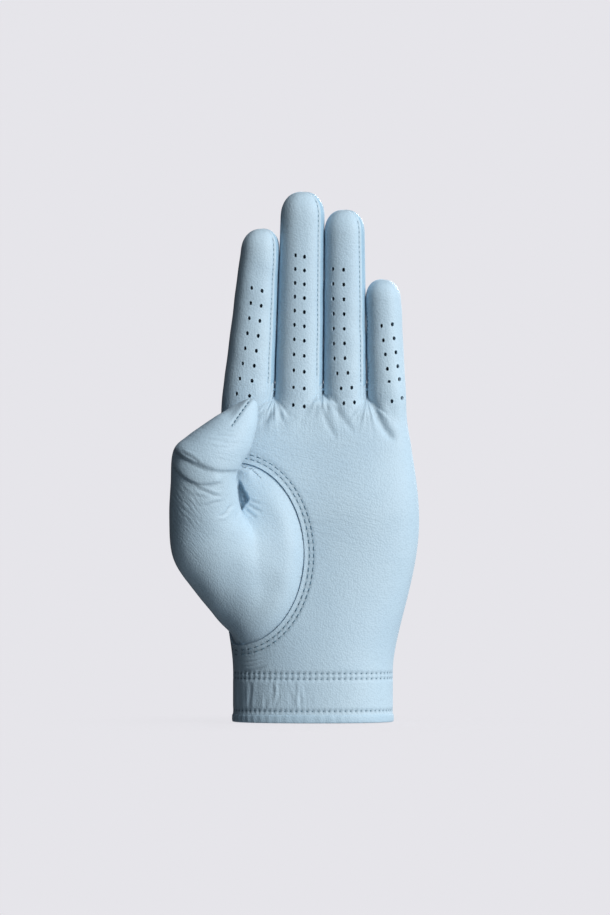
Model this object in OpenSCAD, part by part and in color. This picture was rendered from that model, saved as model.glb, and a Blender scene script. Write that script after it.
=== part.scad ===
// Golf glove for the left hand, cut and sewn from thin leather, standing on its hem with the fingers up.
// Millimetres. +Z runs from the hem to the fingertips, -Y is the palm side and -X the thumb side.
// The origin is the middle of the hand opening, in the plane of the hem.

/* [Leather] */
// Thickness of the leather
leather_t = 0.8; // [0.6:0.1:1.2]
// Gap between pieces that lie on or beside each other
seam_gap = 0.1; // [0.05:0.05:0.2]
// Gap between pieces that a joint parts
joint_gap = 0.3; // [0.3:0.05:0.5]
// Radius of the sewing thread
thread_r = 0.3; // [0.2:0.05:0.4]

/* [Cuff] */
// Width of the cuff
cuff_w = 66.6; // [54:0.2:82]
// Depth of the cuff, palm to back
cuff_d = 42; // [34:0.5:52]
// Height of the straight cuff
cuff_h = 22; // [20:0.5:28]
// Height of the binding on the hem
hem_h = 4; // [3:0.5:5]
// Thickness of the elastic inside the cuff
elastic_t = 1; // [0.6:0.1:1.4]
// Width of the elastic
elastic_w = 11; // [8:0.5:12]

/* [Palm] */
// Reach of the palm on the little finger's side at its widest
palm_right = 44.2; // [38:0.2:54]
// Reach of the palm on the thumb's side at its widest
palm_left = 41; // [36:0.2:50]
// Height where the palm is widest
palm_z = 84; // [74:1:94]
// Thickness of the hand where the palm is widest
palm_d = 34; // [28:0.5:42]
// Height where the fingers leave the palm
root_z = 138; // [128:1:150]

/* [Fingers] */
// Widths of the index, middle, ring and little finger where they leave the palm
root_widths = [21.2, 19.4, 17.4, 15.8];
// Widths that the four fingers taper to at the height of the longest tip
top_widths = [13.5, 17.2, 15.6, 12.6];
// Lengths of the four fingers
finger_lengths = [67.2, 82.5, 75, 46.2];
// Depth of the fingers where they leave the palm
finger_d = 18.4; // [15:0.2:22]
// Depth of the fingers at the longest tip
finger_top_d = 15; // [12:0.2:18]
// Gap between neighbouring fingers
finger_gap = 0.8; // [0.6:0.1:2]
// Sideways place of the four roots and of the four tips
root_shift = 0.6; // [-2:0.1:2]
top_shift = 3.65; // [0:0.05:5]
// How far the longest tip leans to the palm side
finger_curl = 3; // [0:0.5:5]

/* [Thumb] */
// Middle of the oval seam that sets the thumb into the palm, sideways and up
oval_x = -32; // [-36:0.5:-28]
oval_z = 70; // [64:0.5:76]
// Half width and half height of the oval seam
oval_rx = 28.5; // [24:0.5:33]
oval_rz = 38; // [32:0.5:42]

/* [Closure] */
// Height of the lower edge of the closure tab
tab_z = 13; // [10:0.5:16]
// Width of the closure tab, hem to fingers
tab_w = 27; // [20:0.5:32]
// Place sideways of the line the tab folds on, and of the tab's free end
hinge_x = 17; // [14:0.5:20]
tab_end = -24; // [-27:0.5:-18]
// Width of the strip that the tab is sewn on by
anchor_w = 6; // [4:0.5:9]
// Width of the hook pad
hook_w = 10; // [6:0.5:12]
// Height of the top of the slit in the back
slit_top = 56; // [48:1:64]
// Width of the slit at the hem and at its top
slit_hem_w = 11; // [8:0.5:14]
slit_top_w = 1.6; // [1:0.2:3]
// Width of the binding along the slit
binding_w = 2.6; // [2:0.2:4]
// Thickness of the hook pad and of the loop pad
hook_t = 0.9; // [0.6:0.1:1.4]
loop_t = 0.9; // [0.6:0.1:1.4]

/* [Hidden] */

leather_blue = [0.66, 0.78, 0.87];
welt_blue = [0.58, 0.72, 0.83];
thread_blue = [0.42, 0.58, 0.71];
elastic_white = [0.86, 0.88, 0.9];
pad_grey = [0.55, 0.66, 0.75];

// Angles round a section, counted from the little finger's side towards the back
side_seam = 35;
fold_seam = 180 - side_seam;
side_turn = 325;
column_step = 10;
round_columns = [column_step / 2:column_step:360 - column_step / 2];
seam_angle = 0.5;
top_z = root_z + max(finger_lengths);
hem_lift = leather_t;
hand_rows = [
    hem_lift, cuff_h, cuff_h + 8, cuff_h + 15, cuff_h + 23, cuff_h + 32, cuff_h + 42, palm_z - 10, palm_z,
    palm_z + 12, palm_z + 23, palm_z + 33, root_z - 12, root_z - 5, root_z - joint_gap
];

// Rings of the thumb, up to its bend and on to its tip: middle, half width, half depth and lean
thumb_bend = [[-44.5, -29.6, 108.2], 14, 12, 21];
thumb_lower = [
    [[-24, -3, 38], 8, 10, -26], [[-29.5, -8, 50], 13, 14, -26], [[-36, -13, 62], 15.4, 15, -25],
    [[-41.5, -18.5, 74], 17.4, 15, -19], [[-44.6, -23, 87], 15, 14, -8], [[-45, -27, 99], 13.8, 12.8, 4],
    thumb_bend
];
thumb_upper = [
    thumb_bend, [[-40.2, -29.8, 113.8], 12.8, 11.4, 23], [[-35.8, -29, 118.3], 11.2, 10.2, 26],
    [[-31.8, -27.8, 123], 8.9, 8.8, 31], [[-28, -26.4, 127.8], 6.4, 7, 38],
    [[-25.4, -25.2, 131.4], 3.8, 4.6, 44]
];
thumb_end = [-23.2, -24.4, 134.6];

function ease(u) = let (c = max(0, min(1, u))) c * c * (3 - 2 * c);
function mix(a, b, u) = a + (b - a) * u;
function unit(v) = v / norm(v);
function sum_to(list, k) = k < 0 ? 0 : list[k] + sum_to(list, k - 1);
function span(from, to, steps) = [for (i = [0:steps]) from + (to - from) * i / steps];
function signed_power(c, e) = sign(c) * pow(abs(c), e);
function flat(p) = [p[0], p[1]];
function reverse(list) = [for (i = [len(list) - 1:-1:0]) list[i]];

// Reach of the hand to each side, to the palm and to the back, at a height
root_total = sum_to(root_widths, 3) + 3 * finger_gap;
top_total = sum_to(top_widths, 3) + 3 * finger_gap;
root_right = root_total / 2 + root_shift;
root_left = root_total / 2 - root_shift;
function reach(cuff, palm, root, z) =
    z < palm_z ? mix(cuff, palm, ease(pow(max(0, (z - cuff_h) / (palm_z - cuff_h)), 0.85)))
               : mix(palm, root, ease((z - palm_z) / (root_z - palm_z)));
function reach_right(z) = reach(cuff_w / 2, palm_right, root_right, z);
function reach_left(z) = reach(cuff_w / 2, palm_left, root_left, z);
function reach_front(z) = reach(cuff_d / 2, palm_d * 0.53, finger_d / 2, z);
function reach_back(z) = reach(cuff_d / 2, palm_d * 0.47, finger_d / 2, z);
function squareness(z) = mix(2.2, 3.2, ease((z - cuff_h) / (root_z - cuff_h)));

// Point on the hand at an angle and a height, moved inwards by a distance
function hand_point(a, z, inset) =
    let (c = cos(a), s = sin(a), e = 2 / squareness(z))
    [
        (c > 0 ? reach_right(z) - inset : reach_left(z) - inset) * signed_power(c, e),
        (s > 0 ? reach_back(z) - inset : reach_front(z) - inset) * signed_power(s, e),
        z
    ];

// Point on finger k at an angle and a height, moved inwards by a distance
function finger_width(k, z) = mix(root_widths[k], top_widths[k], (z - root_z) / (top_z - root_z));
function finger_depth(z) = mix(finger_d, finger_top_d, (z - root_z) / (top_z - root_z));
function finger_middle(k, z) =
    let (
        root = -root_left + sum_to(root_widths, k - 1) + k * finger_gap + root_widths[k] / 2,
        top = top_shift - top_total / 2 + sum_to(top_widths, k - 1) + k * finger_gap + top_widths[k] / 2
    )
    mix(root, top, (z - root_z) / (top_z - root_z));
function finger_lean(z) = -finger_curl * pow((z - root_z) / (top_z - root_z), 2);
function dome_height(k) = finger_width(k, root_z + finger_lengths[k]) * 0.62;
function dome_share(k, z, inset) =
    let (
        tip = root_z + finger_lengths[k] - inset,
        t = max(0, min(1, (z - (tip - dome_height(k))) / dome_height(k)))
    )
    pow(max(0, 1 - pow(t, 2.3)), 1 / 2.3);
function finger_point(k, a, z, share, inset) =
    let (e = 2 / 2.3)
    [
        finger_middle(k, z) + (finger_width(k, z) / 2 - inset) * share * signed_power(cos(a), e),
        finger_lean(z) + (finger_depth(z) / 2 - inset) * share * signed_power(sin(a), e),
        z
    ];

// A closed sheet between an outer and an inner grid of points, given row by row.
// A last row of one point closes the sheet to a tip.
module leather_sheet(outer, inner) {
    rows = len(outer);
    cols = len(outer[0]);
    tip = len(outer[rows - 1]) == 1;
    count = tip ? (rows - 1) * cols + 1 : rows * cols;
    function at(side, r, c) = side * count + (tip && r == rows - 1 ? (rows - 1) * cols : r * cols + c);
    function halves(q) = [
        if (q[0] != q[1] && q[1] != q[2] && q[0] != q[2]) [q[0], q[1], q[2]],
        if (q[0] != q[2] && q[2] != q[3] && q[0] != q[3]) [q[0], q[2], q[3]]
    ];
    faces = [
        for (r = [0:rows - 2], c = [0:cols - 2]) each concat(
            halves([at(0, r, c), at(0, r + 1, c), at(0, r + 1, c + 1), at(0, r, c + 1)]),
            halves([at(1, r, c), at(1, r, c + 1), at(1, r + 1, c + 1), at(1, r + 1, c)])
        ),
        for (c = [0:cols - 2]) each concat(
            halves([at(0, 0, c), at(0, 0, c + 1), at(1, 0, c + 1), at(1, 0, c)]),
            tip ? [] : halves([
                at(0, rows - 1, c + 1), at(0, rows - 1, c), at(1, rows - 1, c), at(1, rows - 1, c + 1)
            ])
        ),
        for (r = [0:rows - 2]) each concat(
            halves([at(0, r + 1, 0), at(0, r, 0), at(1, r, 0), at(1, r + 1, 0)]),
            halves([at(0, r, cols - 1), at(0, r + 1, cols - 1), at(1, r + 1, cols - 1), at(1, r, cols - 1)])
        )
    ];
    polyhedron(points = concat([for (row = outer) each row], [for (row = inner) each row]), faces = faces);
}

// A solid through closed rings of points, each ring counted the same way round
module loft(rings) {
    n = len(rings[0]);
    last = len(rings) - 1;
    polyhedron(
        points = [for (ring = rings) each ring],
        faces = concat(
            [[for (i = [0:n - 1]) i]],
            [[for (i = [0:n - 1]) last * n + n - 1 - i]],
            [for (r = [0:last - 1], i = [0:n - 1])
                let (j = (i + 1) % n) each [
                    [r * n + i, (r + 1) * n + i, (r + 1) * n + j],
                    [r * n + i, (r + 1) * n + j, r * n + j]
                ]]
        )
    );
}

// A round thread through a list of points
module thread(path, radius = thread_r) {
    last = len(path) - 1;
    function heading(i) = unit(path[min(last, i + 1)] - path[max(0, i - 1)]);
    function across(i) = unit(cross(abs(heading(i)[2]) > 0.9 ? [0, 1, 0] : [0, 0, 1], heading(i)));
    loft([for (i = [0:last])
        let (h = heading(i), u = across(i), v = cross(h, u))
        [for (a = [0:60:300]) path[i] + radius * (cos(a) * u + sin(a) * v)]]);
}

// One triangle mesh for pieces that booleans cut from curved sheets
module as_mesh() {
    resize([0, 0, 0]) children();
}

// ---- Hand ----

// Angles across a panel, ending just short of the panel beside it
function panel_columns(from, to, step) =
    [each span(from, to - step, round((to - from) / step) - 1), to - seam_angle];

module hand_sheet(from, to, zs, outset, inset) {
    columns = panel_columns(from, to, column_step);
    leather_sheet(
        [for (z = zs) [for (a = columns) hand_point(a, z, -outset)]],
        [for (z = zs) [for (a = columns) hand_point(a, z, inset)]]
    );
}

module hand_solid(inset) {
    loft([for (z = [each hand_rows, root_z + 5])
        [for (a = round_columns) hand_point(a, min(z, root_z), inset) + [0, 0, z - min(z, root_z)]]]);
}

module oval_prism(grow) {
    translate([oval_x, 0, oval_z])
        rotate([90, 0, 0])
            linear_extrude(height = 2 * cuff_w, center = true)
                polygon([for (a = [0:6:354]) [(oval_rx + grow) * cos(a), (oval_rz + grow) * sin(a)]]);
}

module slit_prism(grow) {
    low = slit_hem_w / 2 + grow;
    high = slit_top_w / 2 + grow;
    rotate([90, 0, 0])
        translate([0, 0, -cuff_w])
            linear_extrude(height = cuff_w)
                polygon([[-low, -1], [low, -1], [high, slit_top + grow], [-high, slit_top + grow]]);
}

module palm_panel() {
    color(leather_blue)
        as_mesh() difference() {
            hand_sheet(fold_seam, 360 + side_seam, hand_rows, 0, leather_t);
            oval_prism(seam_gap);
            thumb_solid(-seam_gap);
        }
}

module back_panel() {
    color(leather_blue)
        as_mesh() difference() {
            hand_sheet(side_seam, fold_seam, hand_rows, 0, leather_t);
            slit_prism(0);
        }
}

// The webs between neighbouring fingers, which close the top of the hand
module crotch_web() {
    rim = leather_t + seam_gap;
    web_d = finger_d * 0.8;
    color(welt_blue)
        translate([0, 0, root_z - joint_gap - leather_t])
            linear_extrude(height = leather_t)
                for (k = [0:2])
                    difference() {
                        intersection() {
                            polygon([for (a = round_columns) flat(hand_point(a, root_z, rim))]);
                            translate([finger_middle(k, root_z), -web_d / 2])
                                square([finger_middle(k + 1, root_z) - finger_middle(k, root_z), web_d]);
                        }
                        for (j = [k, k + 1])
                            polygon([for (a = round_columns) flat(finger_point(j, a, root_z, 1, rim))]);
                    }
}

// ---- Thumb ----

function thumb_heading(ring) = [sin(ring[3]), 0, cos(ring[3])];
function thumb_point(ring, a, inset) =
    ring[0] + (ring[1] - inset) * cos(a) * [cos(ring[3]), 0, -sin(ring[3])]
            + (ring[2] - inset) * sin(a) * [0, 1, 0];
function thumb_ring(list, i, inset, lift) =
    [for (a = [0:18:342]) thumb_point(list[i], a, inset) + lift * thumb_heading(list[i])];

module thumb_solid(inset) {
    loft([for (i = [0:len(thumb_lower) - 1]) thumb_ring(thumb_lower, i, inset, 0)]);
}

module thenar_panel() {
    color(leather_blue)
        as_mesh() difference() {
            intersection() {
                hand_sheet(fold_seam, 360 + side_seam, hand_rows, 0, leather_t);
                oval_prism(0);
            }
            thumb_solid(-seam_gap);
        }
}

module thumb_tube() {
    color(leather_blue)
        as_mesh() difference() {
            thumb_solid(0);
            thumb_mouth();
            hand_solid(leather_t);
        }
}

// The hollow of the lower thumb, open at the bend
module thumb_mouth() {
    last = len(thumb_lower) - 1;
    loft([
        for (i = [0:last]) thumb_ring(thumb_lower, i, leather_t, 0),
        thumb_ring(thumb_lower, last, leather_t, 2)
    ]);
}

module thumb_tip() {
    last = len(thumb_upper) - 1;
    function wall(inset) = [
        for (i = [0:last])
            let (ring = thumb_ring(thumb_upper, i, inset, i == 0 ? joint_gap : 0)) [each ring, ring[0]],
        [thumb_end - inset * unit(thumb_end - thumb_upper[last][0])]
    ];
    color(leather_blue) seamless_tube(wall(0), wall(leather_t));
}

// A tube with a closed tip: the first and last columns of the grids are the same points
module seamless_tube(outer, inner) {
    rows = len(outer);
    n = len(outer[0]) - 1;
    tip = (rows - 1) * n;
    count = tip + 1;
    function at(side, r, c) = side * count + (r == rows - 1 ? tip : r * n + c % n);
    body = [for (r = [0:rows - 3], c = [0:n - 1]) each [
        [at(0, r, c), at(0, r + 1, c), at(0, r + 1, c + 1)],
        [at(0, r, c), at(0, r + 1, c + 1), at(0, r, c + 1)],
        [at(1, r, c), at(1, r, c + 1), at(1, r + 1, c + 1)],
        [at(1, r, c), at(1, r + 1, c + 1), at(1, r + 1, c)]
    ]];
    cap = [for (c = [0:n - 1]) each [
        [at(0, rows - 2, c), tip, at(0, rows - 2, c + 1)],
        [at(1, rows - 2, c), at(1, rows - 2, c + 1), count + tip]
    ]];
    mouth = [for (c = [0:n - 1]) each [
        [at(0, 0, c), at(0, 0, c + 1), at(1, 0, c + 1)],
        [at(0, 0, c), at(1, 0, c + 1), at(1, 0, c)]
    ]];
    function points(grid) = [for (r = [0:rows - 2], c = [0:n - 1]) grid[r][c], grid[rows - 1][0]];
    polyhedron(points = concat(points(outer), points(inner)), faces = concat(body, cap, mouth));
}

module thumb_tip_seam_thread() {
    seam_angle = 300;
    lift = thread_r + 2 * seam_gap;
    color(thread_blue)
        thread([for (i = [2:len(thumb_upper) - 1]) thumb_point(thumb_upper[i], seam_angle, -lift)]);
}

// ---- Cuff ----

function cuff_outline(inset, from = column_step / 2, to = 360 - column_step / 2) =
    [for (a = [from:column_step:to]) flat(hand_point(a, cuff_h / 2, inset))];

module cuff_ring(outer_inset, inner_inset, height) {
    linear_extrude(height = height)
        difference() {
            polygon(cuff_outline(outer_inset));
            polygon(cuff_outline(inner_inset));
        }
}

elastic_inset = leather_t + seam_gap;
facing_inset = elastic_inset + elastic_t + seam_gap;
cuff_stack = facing_inset + leather_t + seam_gap;

module wrist_elastic() {
    color(elastic_white)
        translate([0, 0, hem_h + 1])
            linear_extrude(height = elastic_w)
                polygon(concat(
                    cuff_outline(elastic_inset, 185, 355),
                    reverse(cuff_outline(elastic_inset + elastic_t, 185, 355))
                ));
}

module cuff_facing() {
    color(leather_blue)
        difference() {
            translate([0, 0, hem_lift])
                cuff_ring(facing_inset, facing_inset + leather_t, cuff_h - hem_lift - 1);
            slit_prism(seam_gap);
        }
}

module hem_binding() {
    color(welt_blue)
        difference() {
            cuff_ring(-leather_t - seam_gap, cuff_stack + leather_t, hem_h);
            translate([0, 0, hem_lift - seam_gap])
                cuff_ring(-seam_gap, cuff_stack, hem_h);
            slit_prism(seam_gap);
        }
}

module cuff_row(z) {
    thread([for (a = span(fold_seam + 4, 360 + side_seam - 6, 46))
        hand_point(a, z, -thread_r - 2 * seam_gap)]);
}

module cuff_thread_upper() {
    color(thread_blue) cuff_row(cuff_h - 1.8);
}

module cuff_thread_lower() {
    color(thread_blue) cuff_row(cuff_h - 3.4);
}

module hem_thread() {
    color(thread_blue) cuff_row(hem_h + thread_r + 0.3);
}

// ---- Thumb seam ----

// Angle round the hand at which its front has a given place sideways
function angle_at(x, z) =
    let (
        w = x > 0 ? reach_right(z) : reach_left(z),
        c = signed_power(max(-1, min(1, x / w)), squareness(z) / 2)
    )
    360 - acos(c);
function seam_path(offset, from, to) =
    [for (t = span(from, to, 34))
        let (
            x = oval_x + (oval_rx + offset) * cos(t),
            z = oval_z + (oval_rz + offset) * sin(t)
        )
        hand_point(angle_at(x, z), z, -thread_r - 2 * seam_gap)];

module thumb_seam_thread_inner() {
    color(thread_blue) thread(seam_path(2.1, -88, 62));
}

module thumb_seam_thread_outer() {
    color(thread_blue) thread(seam_path(3.9, -88, 62));
}

// ---- Fingers ----

function finger_heights(k, inset) =
    let (dome = root_z + finger_lengths[k] - inset - dome_height(k))
    concat(
        span(root_z, dome, max(4, round(finger_lengths[k] / 12))),
        [for (a = [25, 48, 68]) dome + dome_height(k) * sin(a)]
    );

function finger_grid(k, columns, inset) =
    let (tip = root_z + finger_lengths[k] - inset)
    [
        for (z = finger_heights(k, inset))
            [for (a = columns) finger_point(k, a, z, dome_share(k, z, inset), inset)],
        [[finger_middle(k, tip), finger_lean(tip), tip]]
    ];

module finger_sheet(k, from, to) {
    columns = panel_columns(from, to, (to - from) / ceil((to - from) / 14));
    leather_sheet(finger_grid(k, columns, 0), finger_grid(k, columns, leather_t));
}

module finger_front(k) {
    from = k == 0 ? fold_seam : 360 - fold_seam;
    to = k == 3 ? 360 + side_seam : side_turn;
    color(leather_blue) finger_sheet(k, from, to);
}

module finger_back(k) {
    color(leather_blue) finger_sheet(k, side_seam, fold_seam);
}

module inner_fourchette(k) {
    color(welt_blue) finger_sheet(k, fold_seam, 360 - fold_seam);
}

module outer_fourchette(k) {
    color(welt_blue) finger_sheet(k, side_turn, 360 + side_seam);
}

module finger_seam_thread(k) {
    seam_angle = k == 3 ? 222 : 318;
    dome = root_z + finger_lengths[k] - dome_height(k);
    path = [for (z = span(root_z + 1, dome + 1, 14))
        finger_point(k, seam_angle, z, dome_share(k, z, 0), -thread_r - 2 * seam_gap)];
    color(thread_blue) thread(path);
}

// ---- Closure ----

tab_corner = 8;
pad_margin = 4;
loop_lift = seam_gap;
hook_lift = loop_lift + loop_t + joint_gap;
tab_lift = hook_lift + hook_t + seam_gap;
hinge_lift = joint_gap + seam_gap;

// Point on the back of the hand at a place sideways and a height, lifted off it
function back_point(x, z, lift) =
    let (n = squareness(z), side = (x > 0 ? reach_right(z) : reach_left(z)) + lift)
    [x, (reach_back(z) + lift) * pow(1 - pow(abs(x) / side, n), 1 / n), z];

// How far the tab stands off the back: close to it at the hinge, over both pads past the slit
function tab_stand(x) = mix(hinge_lift, tab_lift, ease((hinge_x - x) / 14));

// How much the rounded end takes off the tab's width at a place sideways
function tab_trim(x, r) =
    let (d = (x - tab_end) / r) d > 1 ? 0 : r - r * sqrt(max(0, 1 - pow(1 - d, 2)));

module strip_on_back(xs, low_z, high_z, lift, thickness) {
    function side(raise) = [for (u = span(0, 1, 6)) [for (x = xs)
        back_point(x, mix(low_z(x), high_z(x), u), lift(x) + raise)]];
    leather_sheet(side(thickness), side(0));
}

module closure_tab() {
    xs = concat(span(hinge_x - joint_gap / 2, tab_end + tab_corner, 11),
                [for (a = [25, 45, 62, 76, 86]) tab_end + tab_corner * (1 - sin(a))]);
    color(leather_blue)
        strip_on_back(
            xs, function (x) tab_z + tab_trim(x, tab_corner),
            function (x) tab_z + tab_w - tab_trim(x, tab_corner), function (x) tab_stand(x), leather_t
        );
}

module tab_anchor() {
    color(leather_blue)
        strip_on_back(
            span(hinge_x + anchor_w, hinge_x + joint_gap / 2, 4), function (x) tab_z,
            function (x) tab_z + tab_w, function (x) seam_gap, leather_t
        );
}

module pad_on_back(from, to, margin, lift, thickness) {
    strip_on_back(
        span(from, to, 6), function (x) tab_z + margin, function (x) tab_z + tab_w - margin,
        function (x) lift, thickness
    );
}

module hook_pad() {
    end = tab_end + pad_margin;
    color(pad_grey) pad_on_back(end + hook_w, end, pad_margin, hook_lift, hook_t);
}

module loop_pad() {
    start = -slit_hem_w / 2 - binding_w - 1;
    color(pad_grey) pad_on_back(start, tab_end - 2, pad_margin / 2, loop_lift, loop_t);
}

module tab_thread() {
    inset = 1.8;
    edge = tab_end + inset;
    corner = tab_corner - inset;
    function on_tab(x, z) = back_point(x, z, tab_stand(x) + leather_t + thread_r + 2 * seam_gap);
    lower = concat(
        [for (x = span(hinge_x - 2, edge + corner, 9)) on_tab(x, tab_z + inset)],
        [for (a = [30, 60]) on_tab(edge + corner * (1 - sin(a)), tab_z + inset + corner * (1 - cos(a)))]
    );
    upper = [for (p = reverse(lower)) on_tab(p[0], 2 * tab_z + tab_w - p[2])];
    middle = [for (z = span(tab_z + inset + corner, tab_z + tab_w - inset - corner, 4)) on_tab(edge, z)];
    color(thread_blue) thread(concat(lower, middle, upper));
}

module slit_binding() {
    rows = span(hem_h + seam_gap, slit_top + binding_w + 2, 12);
    color(welt_blue)
        as_mesh() difference() {
            intersection() {
                hand_sheet(55, 125, rows, leather_t, -seam_gap);
                slit_prism(binding_w);
            }
            slit_prism(0);
        }
}

module slit_bar_tack() {
    z = slit_top + binding_w + 1.6;
    lift = -thread_r - 2 * seam_gap;
    color(thread_blue)
        thread([for (a = span(84, 96, 4)) hand_point(a, z, lift)]);
}

palm_panel();
back_panel();
thenar_panel();
thumb_tube();
crotch_web();
wrist_elastic();
cuff_facing();
hem_binding();
slit_binding();
slit_bar_tack();
loop_pad();
tab_anchor();
thumb_seam_thread_inner();
thumb_seam_thread_outer();
cuff_thread_upper();
cuff_thread_lower();
hem_thread();
finger_front(0);  // index_front
finger_back(0);  // index_back
outer_fourchette(0);  // index_fourchette
finger_seam_thread(0);  // index_seam_thread
finger_front(1);  // middle_front
finger_back(1);  // middle_back
inner_fourchette(1);  // middle_inner_fourchette
outer_fourchette(1);  // middle_outer_fourchette
finger_seam_thread(1);  // middle_seam_thread
finger_front(2);  // ring_front
finger_back(2);  // ring_back
inner_fourchette(2);  // ring_inner_fourchette
outer_fourchette(2);  // ring_outer_fourchette
finger_seam_thread(2);  // ring_seam_thread
finger_front(3);  // little_front
finger_back(3);  // little_back
inner_fourchette(3);  // little_fourchette
finger_seam_thread(3);  // little_seam_thread
thumb_tip();
thumb_tip_seam_thread();
closure_tab();
hook_pad();
tab_thread();
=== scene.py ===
import math

import bpy
import numpy as np
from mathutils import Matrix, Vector


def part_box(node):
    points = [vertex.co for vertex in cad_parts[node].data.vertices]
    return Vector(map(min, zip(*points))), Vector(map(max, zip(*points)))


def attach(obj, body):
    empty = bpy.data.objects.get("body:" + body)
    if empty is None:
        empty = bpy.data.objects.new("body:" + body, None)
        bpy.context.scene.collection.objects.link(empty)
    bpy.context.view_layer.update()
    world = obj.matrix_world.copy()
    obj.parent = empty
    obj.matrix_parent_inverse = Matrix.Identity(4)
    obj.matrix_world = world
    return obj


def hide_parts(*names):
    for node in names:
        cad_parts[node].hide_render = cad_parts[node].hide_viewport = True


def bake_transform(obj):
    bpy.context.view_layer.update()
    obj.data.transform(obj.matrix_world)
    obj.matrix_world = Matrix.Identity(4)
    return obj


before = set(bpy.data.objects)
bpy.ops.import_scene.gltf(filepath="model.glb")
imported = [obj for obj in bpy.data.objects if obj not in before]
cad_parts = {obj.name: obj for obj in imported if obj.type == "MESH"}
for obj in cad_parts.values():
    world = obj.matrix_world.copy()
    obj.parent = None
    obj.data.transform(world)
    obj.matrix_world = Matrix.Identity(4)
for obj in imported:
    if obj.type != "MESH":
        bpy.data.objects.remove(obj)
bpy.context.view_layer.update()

# ---- Sizes of the glove, in millimetres, as the frame has them ----

MM = 0.001
FINGERS = ("index", "middle", "ring", "little")


def box_mm(name):
    low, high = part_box(name)
    return np.array(low) / MM, np.array(high) / MM


CUFF_W, CUFF_D, CUFF_H = 66.6, 42.0, 22.0
HEM_H = box_mm("hem_binding")[1][2]
PALM_RIGHT, PALM_LEFT, PALM_Z, PALM_D = 44.2, 41.0, 84.0, 34.0
ROOT_Z = 138.0
TIP_Z = [box_mm(name + "_front")[1][2] for name in FINGERS]
TOP_Z = max(TIP_Z)
ROOT_WIDTHS = np.array([21.2, 19.4, 17.4, 15.8])
TOP_WIDTHS = np.array([13.5, 17.2, 15.6, 12.6])
FINGER_D, FINGER_TOP_D, FINGER_GAP = 18.4, 15.0, 0.8
ROOT_SHIFT, TOP_SHIFT, FINGER_CURL = 0.6, 3.65, 3.0
LEATHER_T = 0.8
OVAL_X, OVAL_Z, OVAL_RX, OVAL_RZ = -32.0, 70.0, 28.5, 38.0
SEAM_A, FOLD_A = 35.0, 145.0

# The thumb, ring by ring: middle, half width, half depth and lean
THUMB_RINGS = (
    ((-24, -3, 38), 8, 10, -26), ((-29.5, -8, 50), 13, 14, -26), ((-36, -13, 62), 15.4, 15, -25),
    ((-41.5, -18.5, 74), 17.4, 15, -19), ((-44.6, -23, 87), 15, 14, -8), ((-45, -27, 99), 13.8, 12.8, 4),
    ((-44.5, -29.6, 108.2), 14, 12, 21), ((-40.2, -29.8, 113.8), 12.8, 11.4, 23),
    ((-35.8, -29, 118.3), 11.2, 10.2, 26), ((-31.8, -27.8, 123), 8.9, 8.8, 31),
    ((-28, -26.4, 127.8), 6.4, 7, 38), ((-25.4, -25.2, 131.4), 3.8, 4.6, 44),
    ((-23.9, -24.6, 133.6), 1.6, 2.2, 46),
)

OVAL_SIDE_A = 158        # angle round the hand where the oval reaches furthest round its side
FINGER_ROUND = 2 / 2.3   # power that squares off the fingers' ovals a little
PANEL_LOW = 0.9          # height where the panels start, inside the hem binding
FORK_Z = 116             # height where the hand's curve starts to turn into the fingers'
FORK_D = 8.9             # half depth of the leather between two fingers, below their crotch
BEND_H = 26              # height over which a finger's leather bends
TAB_SEWN = 1.8           # how far inside the closure's edge its stitches run
CELL = 0.62              # side of one face of a leather panel
BORDER_Z = 140.4         # height where the finger pieces take over from the hand's
INNER_A, OUTER_A = 195, 325   # angles of the two seams on a finger's palm side
CROTCH_Z = (134.0, 137.7, 133.0)
TUCK = 0.015             # how far the hidden lap of two joined pieces lies under the other
PRESS = 0.34             # how far the sides of neighbouring fingers swell towards each other


def ease(u):
    c = np.clip(u, 0, 1)
    return c * c * (3 - 2 * c)


def mix(a, b, u):
    return a + (b - a) * u


def signed_power(c, e):
    return np.sign(c) * np.abs(c) ** e


def run_length(points):
    """How far along a path each of its points lies"""
    return np.concatenate([[0], np.cumsum(np.linalg.norm(np.diff(points, axis=0), axis=1))])


def cosine(a):
    return np.cos(np.radians(a))


def sine(a):
    return np.sin(np.radians(a))


# ---- The hand's shape ----

ROOT_TOTAL = ROOT_WIDTHS.sum() + 3 * FINGER_GAP
TOP_TOTAL = TOP_WIDTHS.sum() + 3 * FINGER_GAP


def reach(cuff, palm, root, z):
    lower = mix(cuff, palm, ease(np.clip((z - CUFF_H) / (PALM_Z - CUFF_H), 0, None) ** 0.85))
    upper = mix(palm, root, ease((z - PALM_Z) / (ROOT_Z - PALM_Z)))
    return np.where(z < PALM_Z, lower, upper)


def reach_side(right, z):
    return np.where(
        right,
        reach(CUFF_W / 2, PALM_RIGHT, ROOT_TOTAL / 2 + ROOT_SHIFT, z),
        reach(CUFF_W / 2, PALM_LEFT, ROOT_TOTAL / 2 - ROOT_SHIFT, z),
    )


def reach_deep(back, z):
    return np.where(
        back,
        reach(CUFF_D / 2, PALM_D * 0.47, FINGER_D / 2, z),
        reach(CUFF_D / 2, PALM_D * 0.53, FINGER_D / 2, z),
    )


def squareness(z):
    return mix(2.2, 3.2, ease((z - CUFF_H) / (ROOT_Z - CUFF_H)))


def hand_point(a, z, inset=0.0):
    a, z = np.broadcast_arrays(np.asarray(a, float), np.asarray(z, float))
    c, s, e = cosine(a), sine(a), 2 / squareness(z)
    x = (reach_side(c > 0, z) - inset) * signed_power(c, e)
    y = (reach_deep(s > 0, z) - inset) * signed_power(s, e)
    return np.stack([x, y, z], -1)


def hand_angle(x, z):
    """Angle round the hand, on its palm side, of a place sideways and a height"""
    share = np.clip(x / reach_side(x > 0, z), -1, 1)
    return 360 - np.degrees(np.arccos(signed_power(share, squareness(z) / 2)))


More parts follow.
